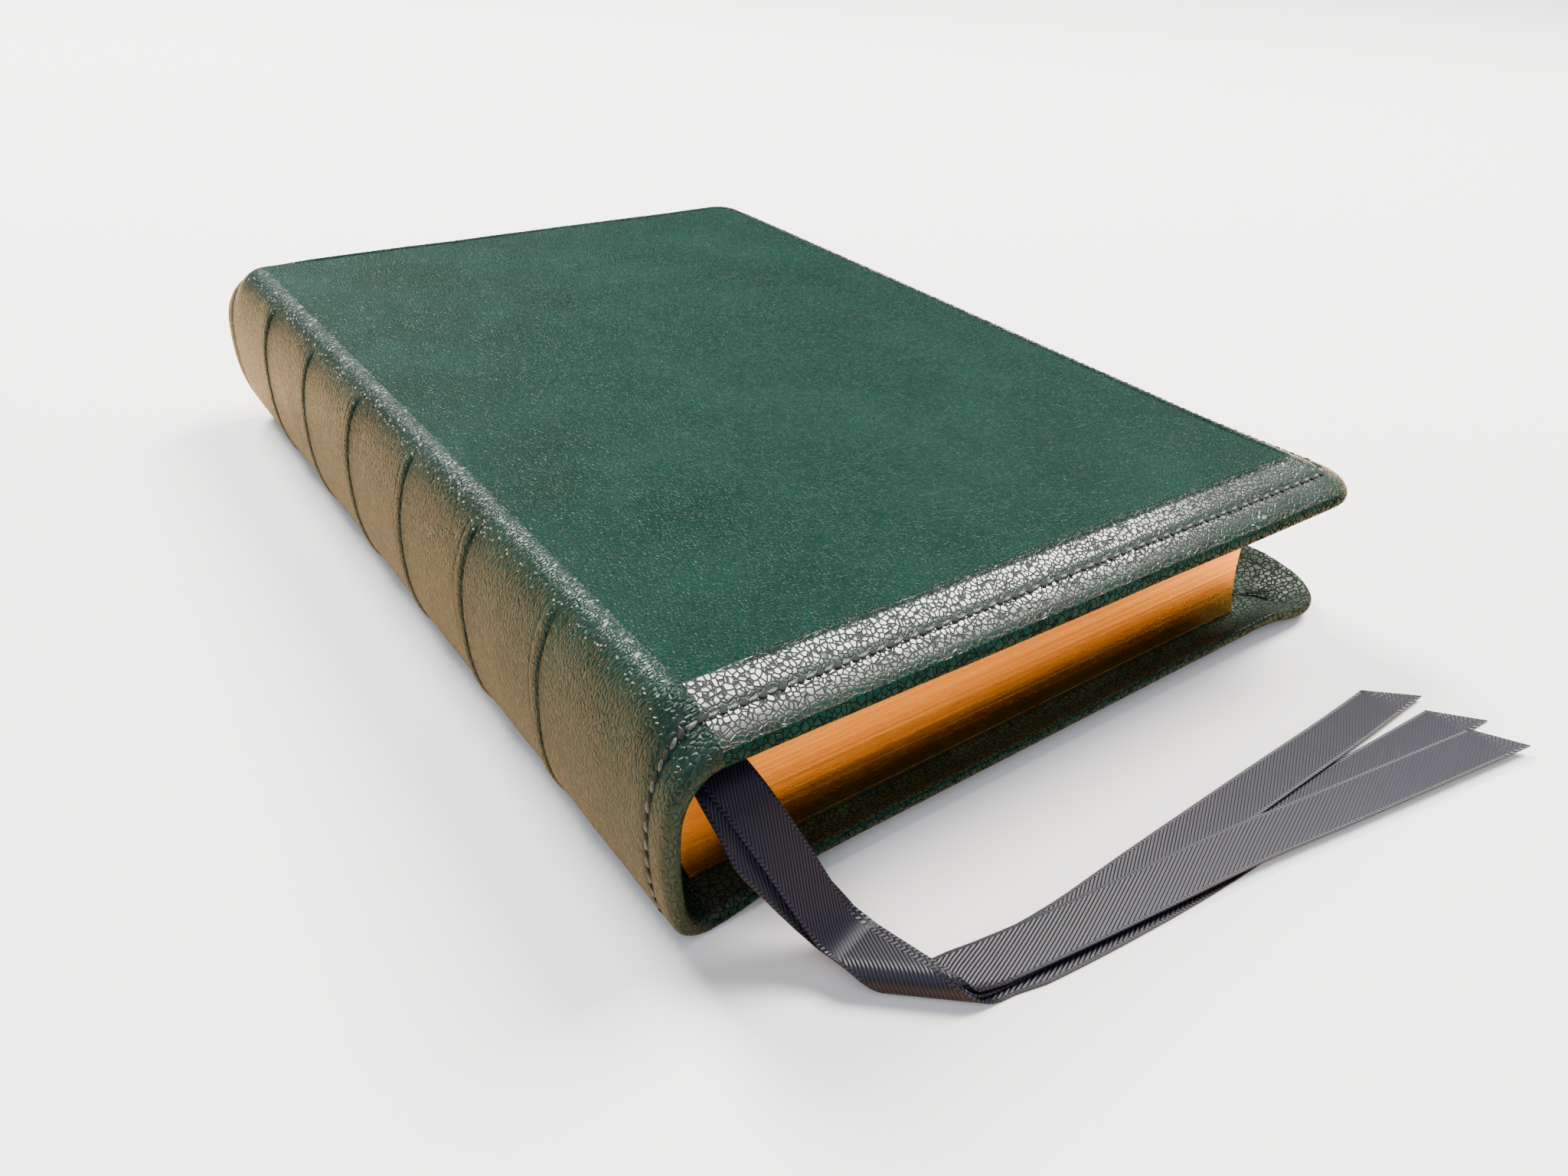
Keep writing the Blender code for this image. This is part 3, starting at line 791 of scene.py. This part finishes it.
@dataclass
class LeatherSpine:
    """The rounded spine: bands with their creases, rolled tail and head ends, and shoulder."""

    book: BookMeasures
    finishes: Finishes
    arc_steps: int = 84
    band_width: float = 2.1
    band_rise: float = 0.28
    crease_depth: float = 0.45
    crease_width: float = 0.17

    def surface(self, a: float, offset: float) -> Vector:
        """A point of the C-shaped section.

        Args:
            a: Angle, from -90 degrees at the table to 90 degrees on the shoulder.
            offset: Distance inwards from the outer face.

        Returns:
            The point, with y at 0.
        """
        power = 2 / self.book.spine_power
        c = max(math.cos(a), 0.0) ** power
        s = math.copysign(abs(math.sin(a)) ** power, math.sin(a))
        reach, half = self.book.hinge_x, self.book.half
        return Vector((reach - (reach - offset) * c, 0.0, half + (half - offset) * s))

    def edge_start(self, a: float) -> float:
        """How far the tail or head end stands in: the lower cover is a little shorter."""
        return self.book.back_inset * smooth_step(math.radians(10), math.radians(85), -a)

    def edge_bend(self, a: float, inset: float) -> float:
        """The end's bend inwards, full on the shoulder and none at mid-height."""
        reach = self.book.leaf_tail - 0.2
        share = max(0.0, (reach - inset) / reach) ** self.book.bend_power
        return self.book.droop * share * smooth_step(math.radians(14), math.radians(86), a)

    def relief(self, a: float, y: float) -> float:
        """Bands and creases, outwards positive, fading on the shoulder."""
        fade = 1 - smooth_step(math.radians(48), math.radians(66), a)
        total = 0.0
        for crease in self.book.creases:
            wobble = 0.25 * ripple(math.degrees(a), crease, 0.0, 40.0)
            deep = y - crease - wobble
            thin = deep - self.band_width
            if -2.0 < deep < 6.0:
                total += self.band_rise * math.exp(-((deep - self.band_width / 2) / 0.9) ** 2)
                total -= self.crease_depth * math.exp(-(deep / self.crease_width) ** 2)
                total -= 0.14 * math.exp(-(thin / 0.2) ** 2)
        return total * fade

    def section(self) -> list:
        """The wall's closed section along Y as (y, depth, inset from the nearest end)."""
        height, half = self.book.height, self.book.cover / 2
        outer = [1.45, 1.8, 2.2, 2.6, 3.0, 3.3, 3.6, 3.9, 4.2, 4.7, 5.3, 6.0, 6.8, 7.6, 8.6]
        steps = sorted(
            {round(v, 3) for v in outer}
            | {round(height - v, 3) for v in outer}
            | {10.0 + 1.2 * k for k in range(int((height - 20) / 1.2) + 1)}
            | {
                round(crease + d, 3)
                for crease in self.book.creases
                for d in (-0.8, -0.5, -0.36, -0.26, -0.18, -0.1, 0.0, 0.1, 0.18, 0.26, 0.36, 0.5, 0.9, 1.3,
                          1.7, 1.9, 2.0, 2.1, 2.2, 2.3, 2.5)
            }
        )
        section = [(y, 0.0, min(y, height - y)) for y in steps]
        turns = [math.pi * k / 8 for k in range(9)]
        inner = self.book.leather + 0.35
        end = [(half - half * math.sin(a), half - half * math.cos(a)) for a in turns]
        end += [(v, self.book.cover) for v in (1.6, 2.6, 4.0, 5.6, 7.2)] + [(7.4, inner)]
        section += [(height - inset, depth, inset) for inset, depth in end]
        section += [(height / 2, inner, height / 2)]
        section += [(inset, depth, inset) for inset, depth in reversed(end)]
        return section + section[:1]

    def point(self, a: float, y: float, depth: float, inset: float) -> Vector:
        """A point of the spine's wall."""
        offset = depth + self.edge_bend(a, inset)
        if depth < 0.01:
            offset -= self.relief(a, y)
            offset += 0.22 * math.exp(-((inset - self.book.stitch_inset) / 0.55) ** 2)
            mid = smooth_step(-1.5, -1.0, a) * (1 - smooth_step(0.9, 1.4, a))
            offset -= mid * (0.1 * ripple(y, a * 8, 1.0, 7.0) + 0.04 * ripple(y, a * 8, 5.0, 2.2))
        at = self.surface(a, offset)
        shift = self.edge_start(a) * max(0.0, 1 - inset / 9.0)
        at.y = y + (shift if y < self.book.height / 2 else -shift)
        at.z = max(at.z, 0.02)
        return at

    def build(self) -> Object:
        """Build the spine's leather as one closed skin."""
        section = self.section()
        angles = [-math.pi / 2 + math.pi * k / self.arc_steps for k in range(self.arc_steps + 1)]

        def place(i: float, j: float) -> Vector:
            """The point at this column and row."""
            y, depth, inset = section[round(i)]
            return self.point(angles[round(j)], y, depth, inset)

        def tag(i: float, j: float) -> Vector:
            """The inset at this column; leather needs no run."""
            return Vector((0.0, section[round(i)][2], 0.0))

        bm = lattice(len(section) - 1, self.arc_steps, place, tag)
        close_up(bm)
        piece = make_piece("spine_skin", bm, self.book.placing, [self.finishes.spine])
        return settle(piece, Body.LEAVES, ["spine_leather"])

    def stitch_line(self) -> list:
        """The stitches' places along the tail end, from the table to the shoulder."""
        inset = self.book.stitch_inset
        angles = [-math.pi / 2 + math.pi * k / 60 for k in range(61)]
        return [self.point(a, inset, 0.0, inset) for a in angles]


# --- stitches


@dataclass
class StitchRun:
    """A run of saddle stitches: a slanted raised thread between lozenge holes, drawn as beads in near-black
    painted shadow.
    """

    book: BookMeasures
    finishes: Finishes
    lift: float = 0.06
    pitch: float = 2.2
    thread_length: float = 1.3
    thread_width: float = 0.6
    thread_height: float = 0.2
    slant: float = 14.0
    hole_radii: tuple = (0.56, 0.4, 0.16)
    hole_slant: float = 28.0

    def build(self, name: str, line: Sequence[Vector], inwards: Callable[[Vector], Vector], body: Body,
              nodes: Iterable[str]) -> Object:
        """Lay stitches along a line.

        Args:
            name: The piece's name.
            line: The stitch line's points on the leather.
            inwards: Gives the direction into the leather at a point.
            body: The body that it rides on.
            nodes: The frame nodes that it stands for.

        Returns:
            The finished piece.
        """
        bm = bmesh.new()
        lengths = path_lengths(line)
        count = int(lengths[-1] / self.pitch)
        k = 0
        for n in range(count):
            at_run = (n + 0.5) * lengths[-1] / count
            while k < len(line) - 2 and lengths[k + 1] < at_run:
                k += 1
            t = (at_run - lengths[k]) / max(lengths[k + 1] - lengths[k], 1e-9)
            along = (line[k + 1] - line[k]).normalized()
            at = line[k].lerp(line[k + 1], t)
            side = (-inwards(at)).cross(along).normalized()
            up = along.cross(side).normalized()
            axes = Matrix((along, side, up)).transposed().to_4x4()
            self.add_bead(bm, Matrix.Translation(at + up * self.lift) @ axes, self.slant,
                          (self.thread_length / 2, self.thread_width / 2, self.thread_height), 0)
            # The holes are beads in the near-black painted shadow finish.
            at_hole = at + along * self.pitch / 2 + up * self.lift
            self.add_bead(bm, Matrix.Translation(at_hole) @ axes, self.hole_slant, self.hole_radii, 1)
        piece = make_piece(name, bm, self.book.placing, [self.finishes.thread, self.finishes.hole_shadow])
        return settle(piece, body, nodes)

    def add_bead(self, bm: BMesh, place: Matrix, slant: float, radii: tuple, slot: int) -> None:
        """Add one small rounded bead.

        Args:
            bm: The run's mesh.
            place: Its middle, with axes along the run, across it and out of the leather.
            slant: Turn about the last, in degrees.
            radii: Half its length, width and height.
            slot: Its material slot.
        """
        turn = Matrix.Rotation(math.radians(slant), 4, "Z")
        scale = Matrix.Diagonal((*radii, 1.0))
        made = bmesh.ops.create_uvsphere(bm, u_segments=8, v_segments=5, radius=1.0,
                                         matrix=place @ turn @ scale)
        for face in {f for v in made["verts"] for f in v.link_faces}:
            face.material_index = slot


# --- the leaves


@dataclass
class LeafBlock:
    """The leaves: sections with gilt edges and paper faces, and the two flyleaves."""

    book: BookMeasures
    finishes: Finishes
    ribbon_x: float = 9.3
    ribbon_room: float = 1.5
    steps_x: int = 48
    steps_y: int = 60
    layers: int = 12
    gap: float = 0.25
    bodies: tuple = (Body.LEAVES,) * 5 + (Body.MARKED_LEAVES,) + (Body.FRONT_LEAVES,) * 2

    def back_x(self, z: float) -> float:
        """The rounded back of the leaves at this height."""
        low, high = self.book.leaf_levels[0][0], self.book.thickness - self.book.leaf_levels[0][0]
        u = (z - (low + high) / 2) / ((high - low) / 2)
        return self.book.back_arc_x + self.book.back_arc * u * u

    def sunk(self, x: float, z: float) -> float:
        """Height after the block's taper towards the fore-edge."""
        low = self.book.leaf_levels[0][0]
        share = min(max((z - low) / (self.book.thickness - 2 * low), 0.0), 1.0)
        return z - self.book.taper * max(0.0, x - self.book.hinge_x) * share

    def section(self, k: int, low: float, high: float) -> Object:
        """One stack of leaves: a gilt section, or a flyleaf. The markers lie in a dent in the marked one.

        Args:
            k: Its place in the pile, from the back flyleaf up.
            low: Its lower face's height at the spine.
            high: Its upper face's height at the spine.

        Returns:
            The finished piece.
        """
        node = LEAF_NODES[k]
        leafy = node.startswith("leaf")
        layers = self.layers if leafy else 1
        width = self.book.leaf_fore - self.back_x(self.book.leaf_levels[1][0])
        tail, head = self.book.leaf_tail, self.book.leaf_head
        bm = bmesh.new()
        bmesh.ops.create_cube(bm, size=1.0, matrix=Matrix.Translation((0.5, 0.5, 0.5)))
        for axis, cuts in ((0, self.steps_x), (1, self.steps_y), (2, layers)):
            edges = [e for e in bm.edges if abs((e.verts[0].co - e.verts[1].co)[axis]) > 0.5]
            bmesh.ops.subdivide_edges(bm, edges=edges, cuts=cuts - 1, use_grid_fill=True)
        bm.normal_update()
        for face in bm.faces:
            face.material_index = 1 if abs(face.normal.z) > 0.9 else 0
        for vert in bm.verts:
            a, b, c = vert.co
            z = low + (high - low) * c
            x = self.back_x(z) + width * (a ** 1.15 if a < 1 else 1.0)
            y = tail + (head - tail) * b
            if b in (0.0, 1.0):
                y += 0.03 * ripple(x * 0.02, z * 3.0, b * 7, 1.0) * (1 if b else -1)
            if a == 1.0:
                x += 0.03 * ripple(z * 3.0, y * 0.02, 2.0, 1.0)
            level = self.sunk(x, z)
            if k == MARKED_STACK and c == 1.0:
                level -= self.ribbon_room * smooth_step(4.4, 3.1, abs(x - self.ribbon_x))
            vert.co = Vector((x, y, level))
        bmesh.ops.recalc_face_normals(bm, faces=bm.faces)
        name = node.replace("leaf_section", "gilt_section").replace("flyleaf", "endpaper")
        piece = make_piece(name, bm, self.book.placing, [self.finishes.gilt, self.finishes.paper])
        return settle(piece, self.bodies[k], [node])

    def build(self) -> None:
        """Build the flyleaves and sections so that each meets the next with no visible gap."""
        levels = self.book.leaf_levels
        high = levels[0][0] - self.gap
        for k in range(len(LEAF_NODES)):
            low, high = high + self.gap, levels[k][1]
            topmost = k == len(LEAF_NODES) - 1
            self.section(k, low, high if topmost else high + self.gap - 0.02)


# --- the ribbon markers


@dataclass(frozen=True)
class MarkerRoute:
    """One marker's place in the bundle and its way across the table."""

    name: str
    layer: int
    aside: tuple
    lie: tuple
    cut: float


@dataclass
class RibbonMarkers:
    """Three satin markers: inside the leaves, down the fall, round the soft fold and along the table."""

    book: BookMeasures
    finishes: Finishes
    width: float = 5.6
    thick: float = 0.25
    step: float = 0.5
    columns: int = 8
    exit_x: float = 9.3
    fold_at: Vector = field(default_factory=lambda: Vector((17.3, -13.3, 0.0)))
    fold_angle: float = math.radians(-41.0)
    fall_angle: float = math.radians(-75.0)
    fold_height: float = 1.75
    fold_radius: float = 1.6
    blend_low: tuple = (15.4, -8.6, 3.4)
    blend_high_y: float = 5.0
    inner_rows: int = 14
    turn_share: float = 0.45
    fall: tuple = (
        (9.3, 6.4, 18.95), (9.4, 4.6, 18.65), (9.8, 2.9, 17.6), (10.5, 1.2, 15.9), (11.4, -0.6, 13.6),
        (12.5, -2.6, 10.9), (13.6, -4.5, 8.1), (14.6, -6.2, 5.7), (15.4, -7.6, 4.1), (16.135, -8.95, 3.42),
    )
    routes: tuple = (
        MarkerRoute("ribbon_marker_1", 0, (0.0, 0.0, -0.5),
                    ((31.0, -19.1), (42.0, -20.2), (55.0, -21.0), (70.0, -21.2), (84.0, -21.5),
                     (95.0, -21.9), (106.6, -22.3)), 2.6),
        MarkerRoute("ribbon_marker_2", 1, (-0.5, -2.2, 0.0),
                    ((29.0, -17.6), (38.0, -17.9), (50.0, -17.3), (62.0, -16.8), (75.0, -16.3),
                     (90.0, -15.8), (103.0, -15.1)), 2.8),
        MarkerRoute("ribbon_marker_3", 2, (0.0, -0.8, 1.0),
                    ((27.0, -17.3), (36.0, -18.6), (48.0, -20.0), (62.0, -21.6), (76.0, -23.8),
                     (92.0, -26.2), (105.5, -28.2)), 2.2),
    )

    @staticmethod
    def smooth_path(points: Sequence, step: float) -> list:
        """A Catmull-Rom curve through the points, sampled about every step."""
        pts = [Vector(p) for p in points]
        pts = [pts[0] * 2 - pts[1]] + pts + [pts[-1] * 2 - pts[-2]]
        out = []
        for k in range(1, len(pts) - 2):
            a, b, c, d = pts[k - 1], pts[k], pts[k + 1], pts[k + 2]
            count = max(1, round((c - b).length / step))
            for j in range(count):
                t = j / count
                out.append(0.5 * ((2 * b) + (c - a) * t + (2 * a - 5 * b + 4 * c - d) * t * t
                                  + (3 * b - a - 3 * c + d) * t * t * t))
        out.append(pts[-2])
        return out

    def folded(self, point: Vector, radius: float) -> Vector:
        """Bend a level point round the soft fold."""
        out = Vector((math.sin(self.fold_angle), -math.cos(self.fold_angle), 0.0))
        reach = (point - self.fold_at).dot(out)
        if reach <= 0.0:
            return point.copy()
        at = point - out * reach
        if reach >= math.pi * radius:
            at -= out * (reach - math.pi * radius)
            at.z -= 2 * radius
            return at
        a = reach / radius
        at += out * math.sin(a) * radius
        at.z += radius * (math.cos(a) - 1)
        return at

    def rows(self, route: MarkerRoute) -> list:
        """Rows of points across one marker, from its head end to its cut end.

        Args:
            route: The marker's place and way.

        Returns:
            A list of rows, each a list of points from one selvedge to the other.
        """
        drop = self.step * route.layer
        radius = self.fold_radius - drop
        level = self.fold_height + radius
        at_exit, at_fall, at_fold = route.aside
        heading = Vector((math.cos(self.fall_angle), math.sin(self.fall_angle), 0.0))
        flat = Vector((-heading.y, heading.x, 0.0))
        places = [self.width * (k / self.columns - 0.5) for k in range(self.columns + 1)]
        rows = []
        head_end = self.book.leaf_head - 1.4
        for k in range(self.inner_rows + 1):
            y = head_end + (8.5 - head_end) * k / self.inner_rows
            middle = Vector((self.exit_x + at_exit, y, self.fall[0][2] - drop))
            rows.append([middle + Vector((w, 0, 0)) for w in places])
        line = self.smooth_path(self.fall, 1.2)
        total = len(line) - 1
        for k, middle in enumerate(line[:-1]):
            ahead = (line[k + 1] - line[max(k - 1, 0)]).normalized()
            share = k / total
            side = Vector((1, 0, 0)).lerp(flat, share)
            across = (side - ahead * side.dot(ahead)).normalized()
            normal = ahead.cross(across).normalized()
            if share < self.turn_share:
                aside = at_exit + (at_fall - at_exit) * share / self.turn_share
            else:
                aside = at_fall + (at_fold - at_fall) * (share - self.turn_share) / (1 - self.turn_share)
            at = middle + across * aside - normal * drop
            rows.append([at + across * w for w in places])
        turn = abs(self.fall_angle - self.fold_angle)
        early = (line[-1] - self.fold_at).dot(heading)
        late = math.pi * radius / math.sin(turn) + self.width / 2 / math.tan(turn) + 0.3
        count = round((late - early) / 0.45)
        for k in range(count + 1):
            run = early + (late - early) * k / count
            middle = self.fold_at + heading * run + flat * at_fold
            middle.z = level
            rows.append([self.folded(middle + flat * w, radius) for w in places])
        half = self.columns // 2
        last = rows[-1][half]
        side_before = (rows[-1][-1] - rows[-1][0]).normalized()
        lie = [tuple(last)] + [(x, y, last.z) for x, y in route.lie]
        line = self.smooth_path(lie, 3.0)
        for k in range(1, len(line)):
            nxt = line[min(k + 1, len(line) - 1)]
            ahead = (nxt - line[k - 1]).normalized()
            across = Vector((ahead.y, -ahead.x, 0.0))
            if across.dot(side_before) < 0:
                across = -across
            slant = 0.0
            if k == len(line) - 1:
                slant = -route.cut if across.y > 0 else route.cut
            rows.append([line[k] + across * w + ahead * slant * w * 2 / self.width for w in places])
        return rows

    def build(self) -> None:
        """Build the three markers, each blended from the back cover near the table to the leaves at its
        exit.
        """
        half = self.columns // 2
        for route in self.routes:
            rows = self.rows(route)
            runs = path_lengths([row[half] for row in rows])

            def place(i: float, j: float) -> Vector:
                """The point at this column and row."""
                return rows[round(j)][round(i)]

            def tag(i: float, j: float) -> Vector:
                """The run and the distance from the middle, both in millimetres."""
                return Vector((runs[round(j)], self.width * (i / self.columns - 0.5), 0.0))

            bm = lattice(self.columns, len(rows) - 1, place, tag)
            piece = make_piece(route.name + "_satin", bm, self.book.placing, [self.finishes.satin])
            wall = piece.modifiers.new("thickness", "SOLIDIFY")
            wall.thickness = self.thick * MM
            wall.offset = 0.0
            settle_point = self.book.placing.point(Vector(self.blend_low))
            exit_point = self.book.placing.point(Vector((self.exit_x, self.blend_high_y, self.fall[0][2])))
            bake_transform(piece, Body.BACK_COVER.value, Body.LEAVES.value, settle_point, exit_point)
            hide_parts(route.name)
            path = [self.book.placing.point(row[half]) for row in rows]
            tuple(path[0])
            [tuple(p) for p in path]
            log.info("%s bends from the table to the leaves, %.0f mm long", piece.name, runs[-1])


# --- hidden pieces


@dataclass
class HiddenPieces:
    """Frame nodes whose shape is right already; they get their finishes."""

    finishes: Finishes

    def dress(self) -> None:
        """Set each node's material."""
        for name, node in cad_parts.items():
            material = self.choose(name)
            if material is None:
                continue
            if not node.material_slots:
                node.data.materials.append(material)
            for slot in node.material_slots:
                slot.material = material
            log.info("%s keeps its frame mesh, in %s", name, material.name)

    def choose(self, name: str) -> Optional[Material]:
        """The finish for a node, or None where a new piece stands for it."""
        if name.endswith("_board") or name == "spine_lining":
            return self.finishes.card
        if name.endswith("_lining"):
            return self.finishes.inside
        if name.startswith("raised_band"):
            return self.finishes.cord
        if name == "spine_mull":
            return self.finishes.cloth
        return None


# --- the studio


@dataclass
class Studio:
    """A pale floor and surround, softboxes that glint on the strip and shoulder, a fill and the camera."""

    book: BookMeasures
    camera_at: tuple = (-36.66, -65.79, 95.4)
    heading: float = 36.68
    down: float = 33.34
    roll: float = 2.22
    lens: float = 26.72
    backdrop: float = 3.4

    def add_light(self, name: str, at: tuple, size: tuple, watts: float, colour: str) -> None:
        """A rectangular softbox aimed at the book's middle.

        Args:
            name: The light's name.
            at: Its place in metres from the middle of the base.
            size: Its level and its upright side in metres.
            watts: Its power.
            colour: Its hex colour.
        """
        lamp = bpy.data.lights.new(name, "AREA")
        lamp.shape = "RECTANGLE"
        lamp.size, lamp.size_y = size
        lamp.energy = watts
        lamp.color = linear(colour)[:3]
        item = link_object(name, lamp)
        item.location = at
        item.rotation_euler = (-Vector(at)).to_track_quat("-Z", "Y").to_euler()

    def add_floor(self) -> None:
        """The pale floor. To glossy rays it is tan, a painted warm reflection standing in for a wooden bench
        under the light.
        """
        bm = bmesh.new()
        bmesh.ops.create_grid(bm, x_segments=1, y_segments=1, size=4.0)
        mesh = bpy.data.meshes.new("studio_floor")
        bm.to_mesh(mesh)
        bm.free()
        material, tree, shader = new_material("pale studio floor", Roughness=0.9, Specular_IOR_Level=0.1)
        path = add_node(tree, "LightPath")
        # Painted reflection: glossy rays see the floor tan and every other ray sees it pale, so the book's
        # gloss, gilt and satin show a warm bench that is not there.
        tone = add_node(tree, "Mix", {"data_type": "RGBA", 6: linear("#f7f7f6"), 7: linear("#e8bf8e")},
                        i0=path.outputs["Is Glossy Ray"])
        where = add_node(tree, "TexCoord").outputs["Object"]
        away = add_node(tree, "VectorMath", {"operation": "LENGTH"}, i0=where).outputs["Value"]
        far = add_node(tree, "MapRange", {"interpolation_type": "SMOOTHSTEP", "From Min": 0.3,
                                          "From Max": 2.2, "To Max": self.backdrop}, Value=away)
        seen = add_node(tree, "Math", {"operation": "MULTIPLY"}, i0=far, i1=path.outputs["Is Camera Ray"])
        shader.inputs["Emission Color"].default_value = linear("#f4f4f4")
        join(shader, Base_Color=tone.outputs[2], Emission_Strength=seen)
        mesh.materials.append(material)
        link_object("studio_floor", mesh)

    def add_world(self) -> None:
        """A pale surround, dimmer in reflections so that the leather stays dark."""
        world = bpy.data.worlds.new("studio")
        bpy.context.scene.world = world
        world.use_nodes = True
        tree = world.node_tree
        dim = tree.nodes["Background"]
        dim.inputs["Color"].default_value = linear("#7d8288")
        pale = add_node(tree, "Background", {"Color": linear("#f4f4f4"), "Strength": self.backdrop})
        path = add_node(tree, "LightPath")
        both = add_node(tree, "MixShader", {}, i0=path.outputs["Is Camera Ray"], i1=dim, i2=pale)
        join(tree.nodes["World Output"], Surface=both)

    def add_camera(self) -> None:
        """The camera, level with the eye of someone sitting at the spine's tail corner."""
        az, el, roll = (math.radians(v) for v in (self.heading, self.down, self.roll))
        ahead = Vector((math.cos(el) * math.sin(az), math.cos(el) * math.cos(az), -math.sin(el)))
        right = ahead.cross(Vector((0, 0, 1))).normalized()
        up = right.cross(ahead)
        tilted_right = right * math.cos(roll) + up * math.sin(roll)
        tilted_up = -right * math.sin(roll) + up * math.cos(roll)
        data = bpy.data.cameras.new("camera")
        data.lens = self.lens
        data.sensor_width = 36.0
        data.clip_start = 0.005
        camera = link_object("camera", data)
        matrix = Matrix((tilted_right, tilted_up, -ahead)).transposed().to_4x4()
        matrix.translation = self.book.placing.point(Vector(self.camera_at))
        camera.matrix_world = matrix
        bpy.context.scene.camera = camera

    def build(self) -> None:
        """Set up floor, world, lights and camera."""
        self.add_floor()
        self.add_world()
        self.add_light("edge_softbox", (0.57, 0.04, 0.82), (0.46, 0.5), 31.0, "#fffaf4")
        self.add_light("shoulder_softbox", (-0.10, 0.67, 0.735), (0.36, 0.36), 30.0, "#fffaf4")
        self.add_light("broad_fill", (-0.5, -0.6, 0.8), (1.0, 1.0), 9.0, "#f2f5ff")
        self.add_camera()


# --- assembly


def main() -> None:
    """Build the book in order."""
    logging.basicConfig(level=logging.INFO, format="%(name)s: %(message)s")
    book = BookMeasures.read()
    finishes = Finishes()
    studio = Studio(book)
    studio.build()
    RibbonMarkers(book, finishes).build()
    front = LeatherCover(book, Side.FRONT, finishes)
    back = LeatherCover(book, Side.BACK, finishes)
    spine = LeatherSpine(book, finishes)
    front.build()
    back.build()
    spine.build()
    stitches = StitchRun(book, finishes)
    stitches.build("front_cover_stitches", front.stitch_line(), lambda at: Vector((0, 0, -1)),
                   Body.FRONT_COVER, ["front_cover_thread"])
    StitchRun(book, finishes, lift=-0.13).build(
        "back_cover_stitches", back.stitch_line(), lambda at: Vector((0, 0, 1)),
        Body.BACK_COVER, ["back_cover_thread"])
    middle = Vector((book.hinge_x + 8, 0, book.half))
    stitches.build("spine_stitches", spine.stitch_line(),
                   lambda at: Vector((middle.x - at.x, 0, middle.z - at.z)).normalized(), Body.LEAVES, [])
    LeafBlock(book, finishes).build()
    HiddenPieces(finishes).dress()


if __name__ == "__main__":
    main()
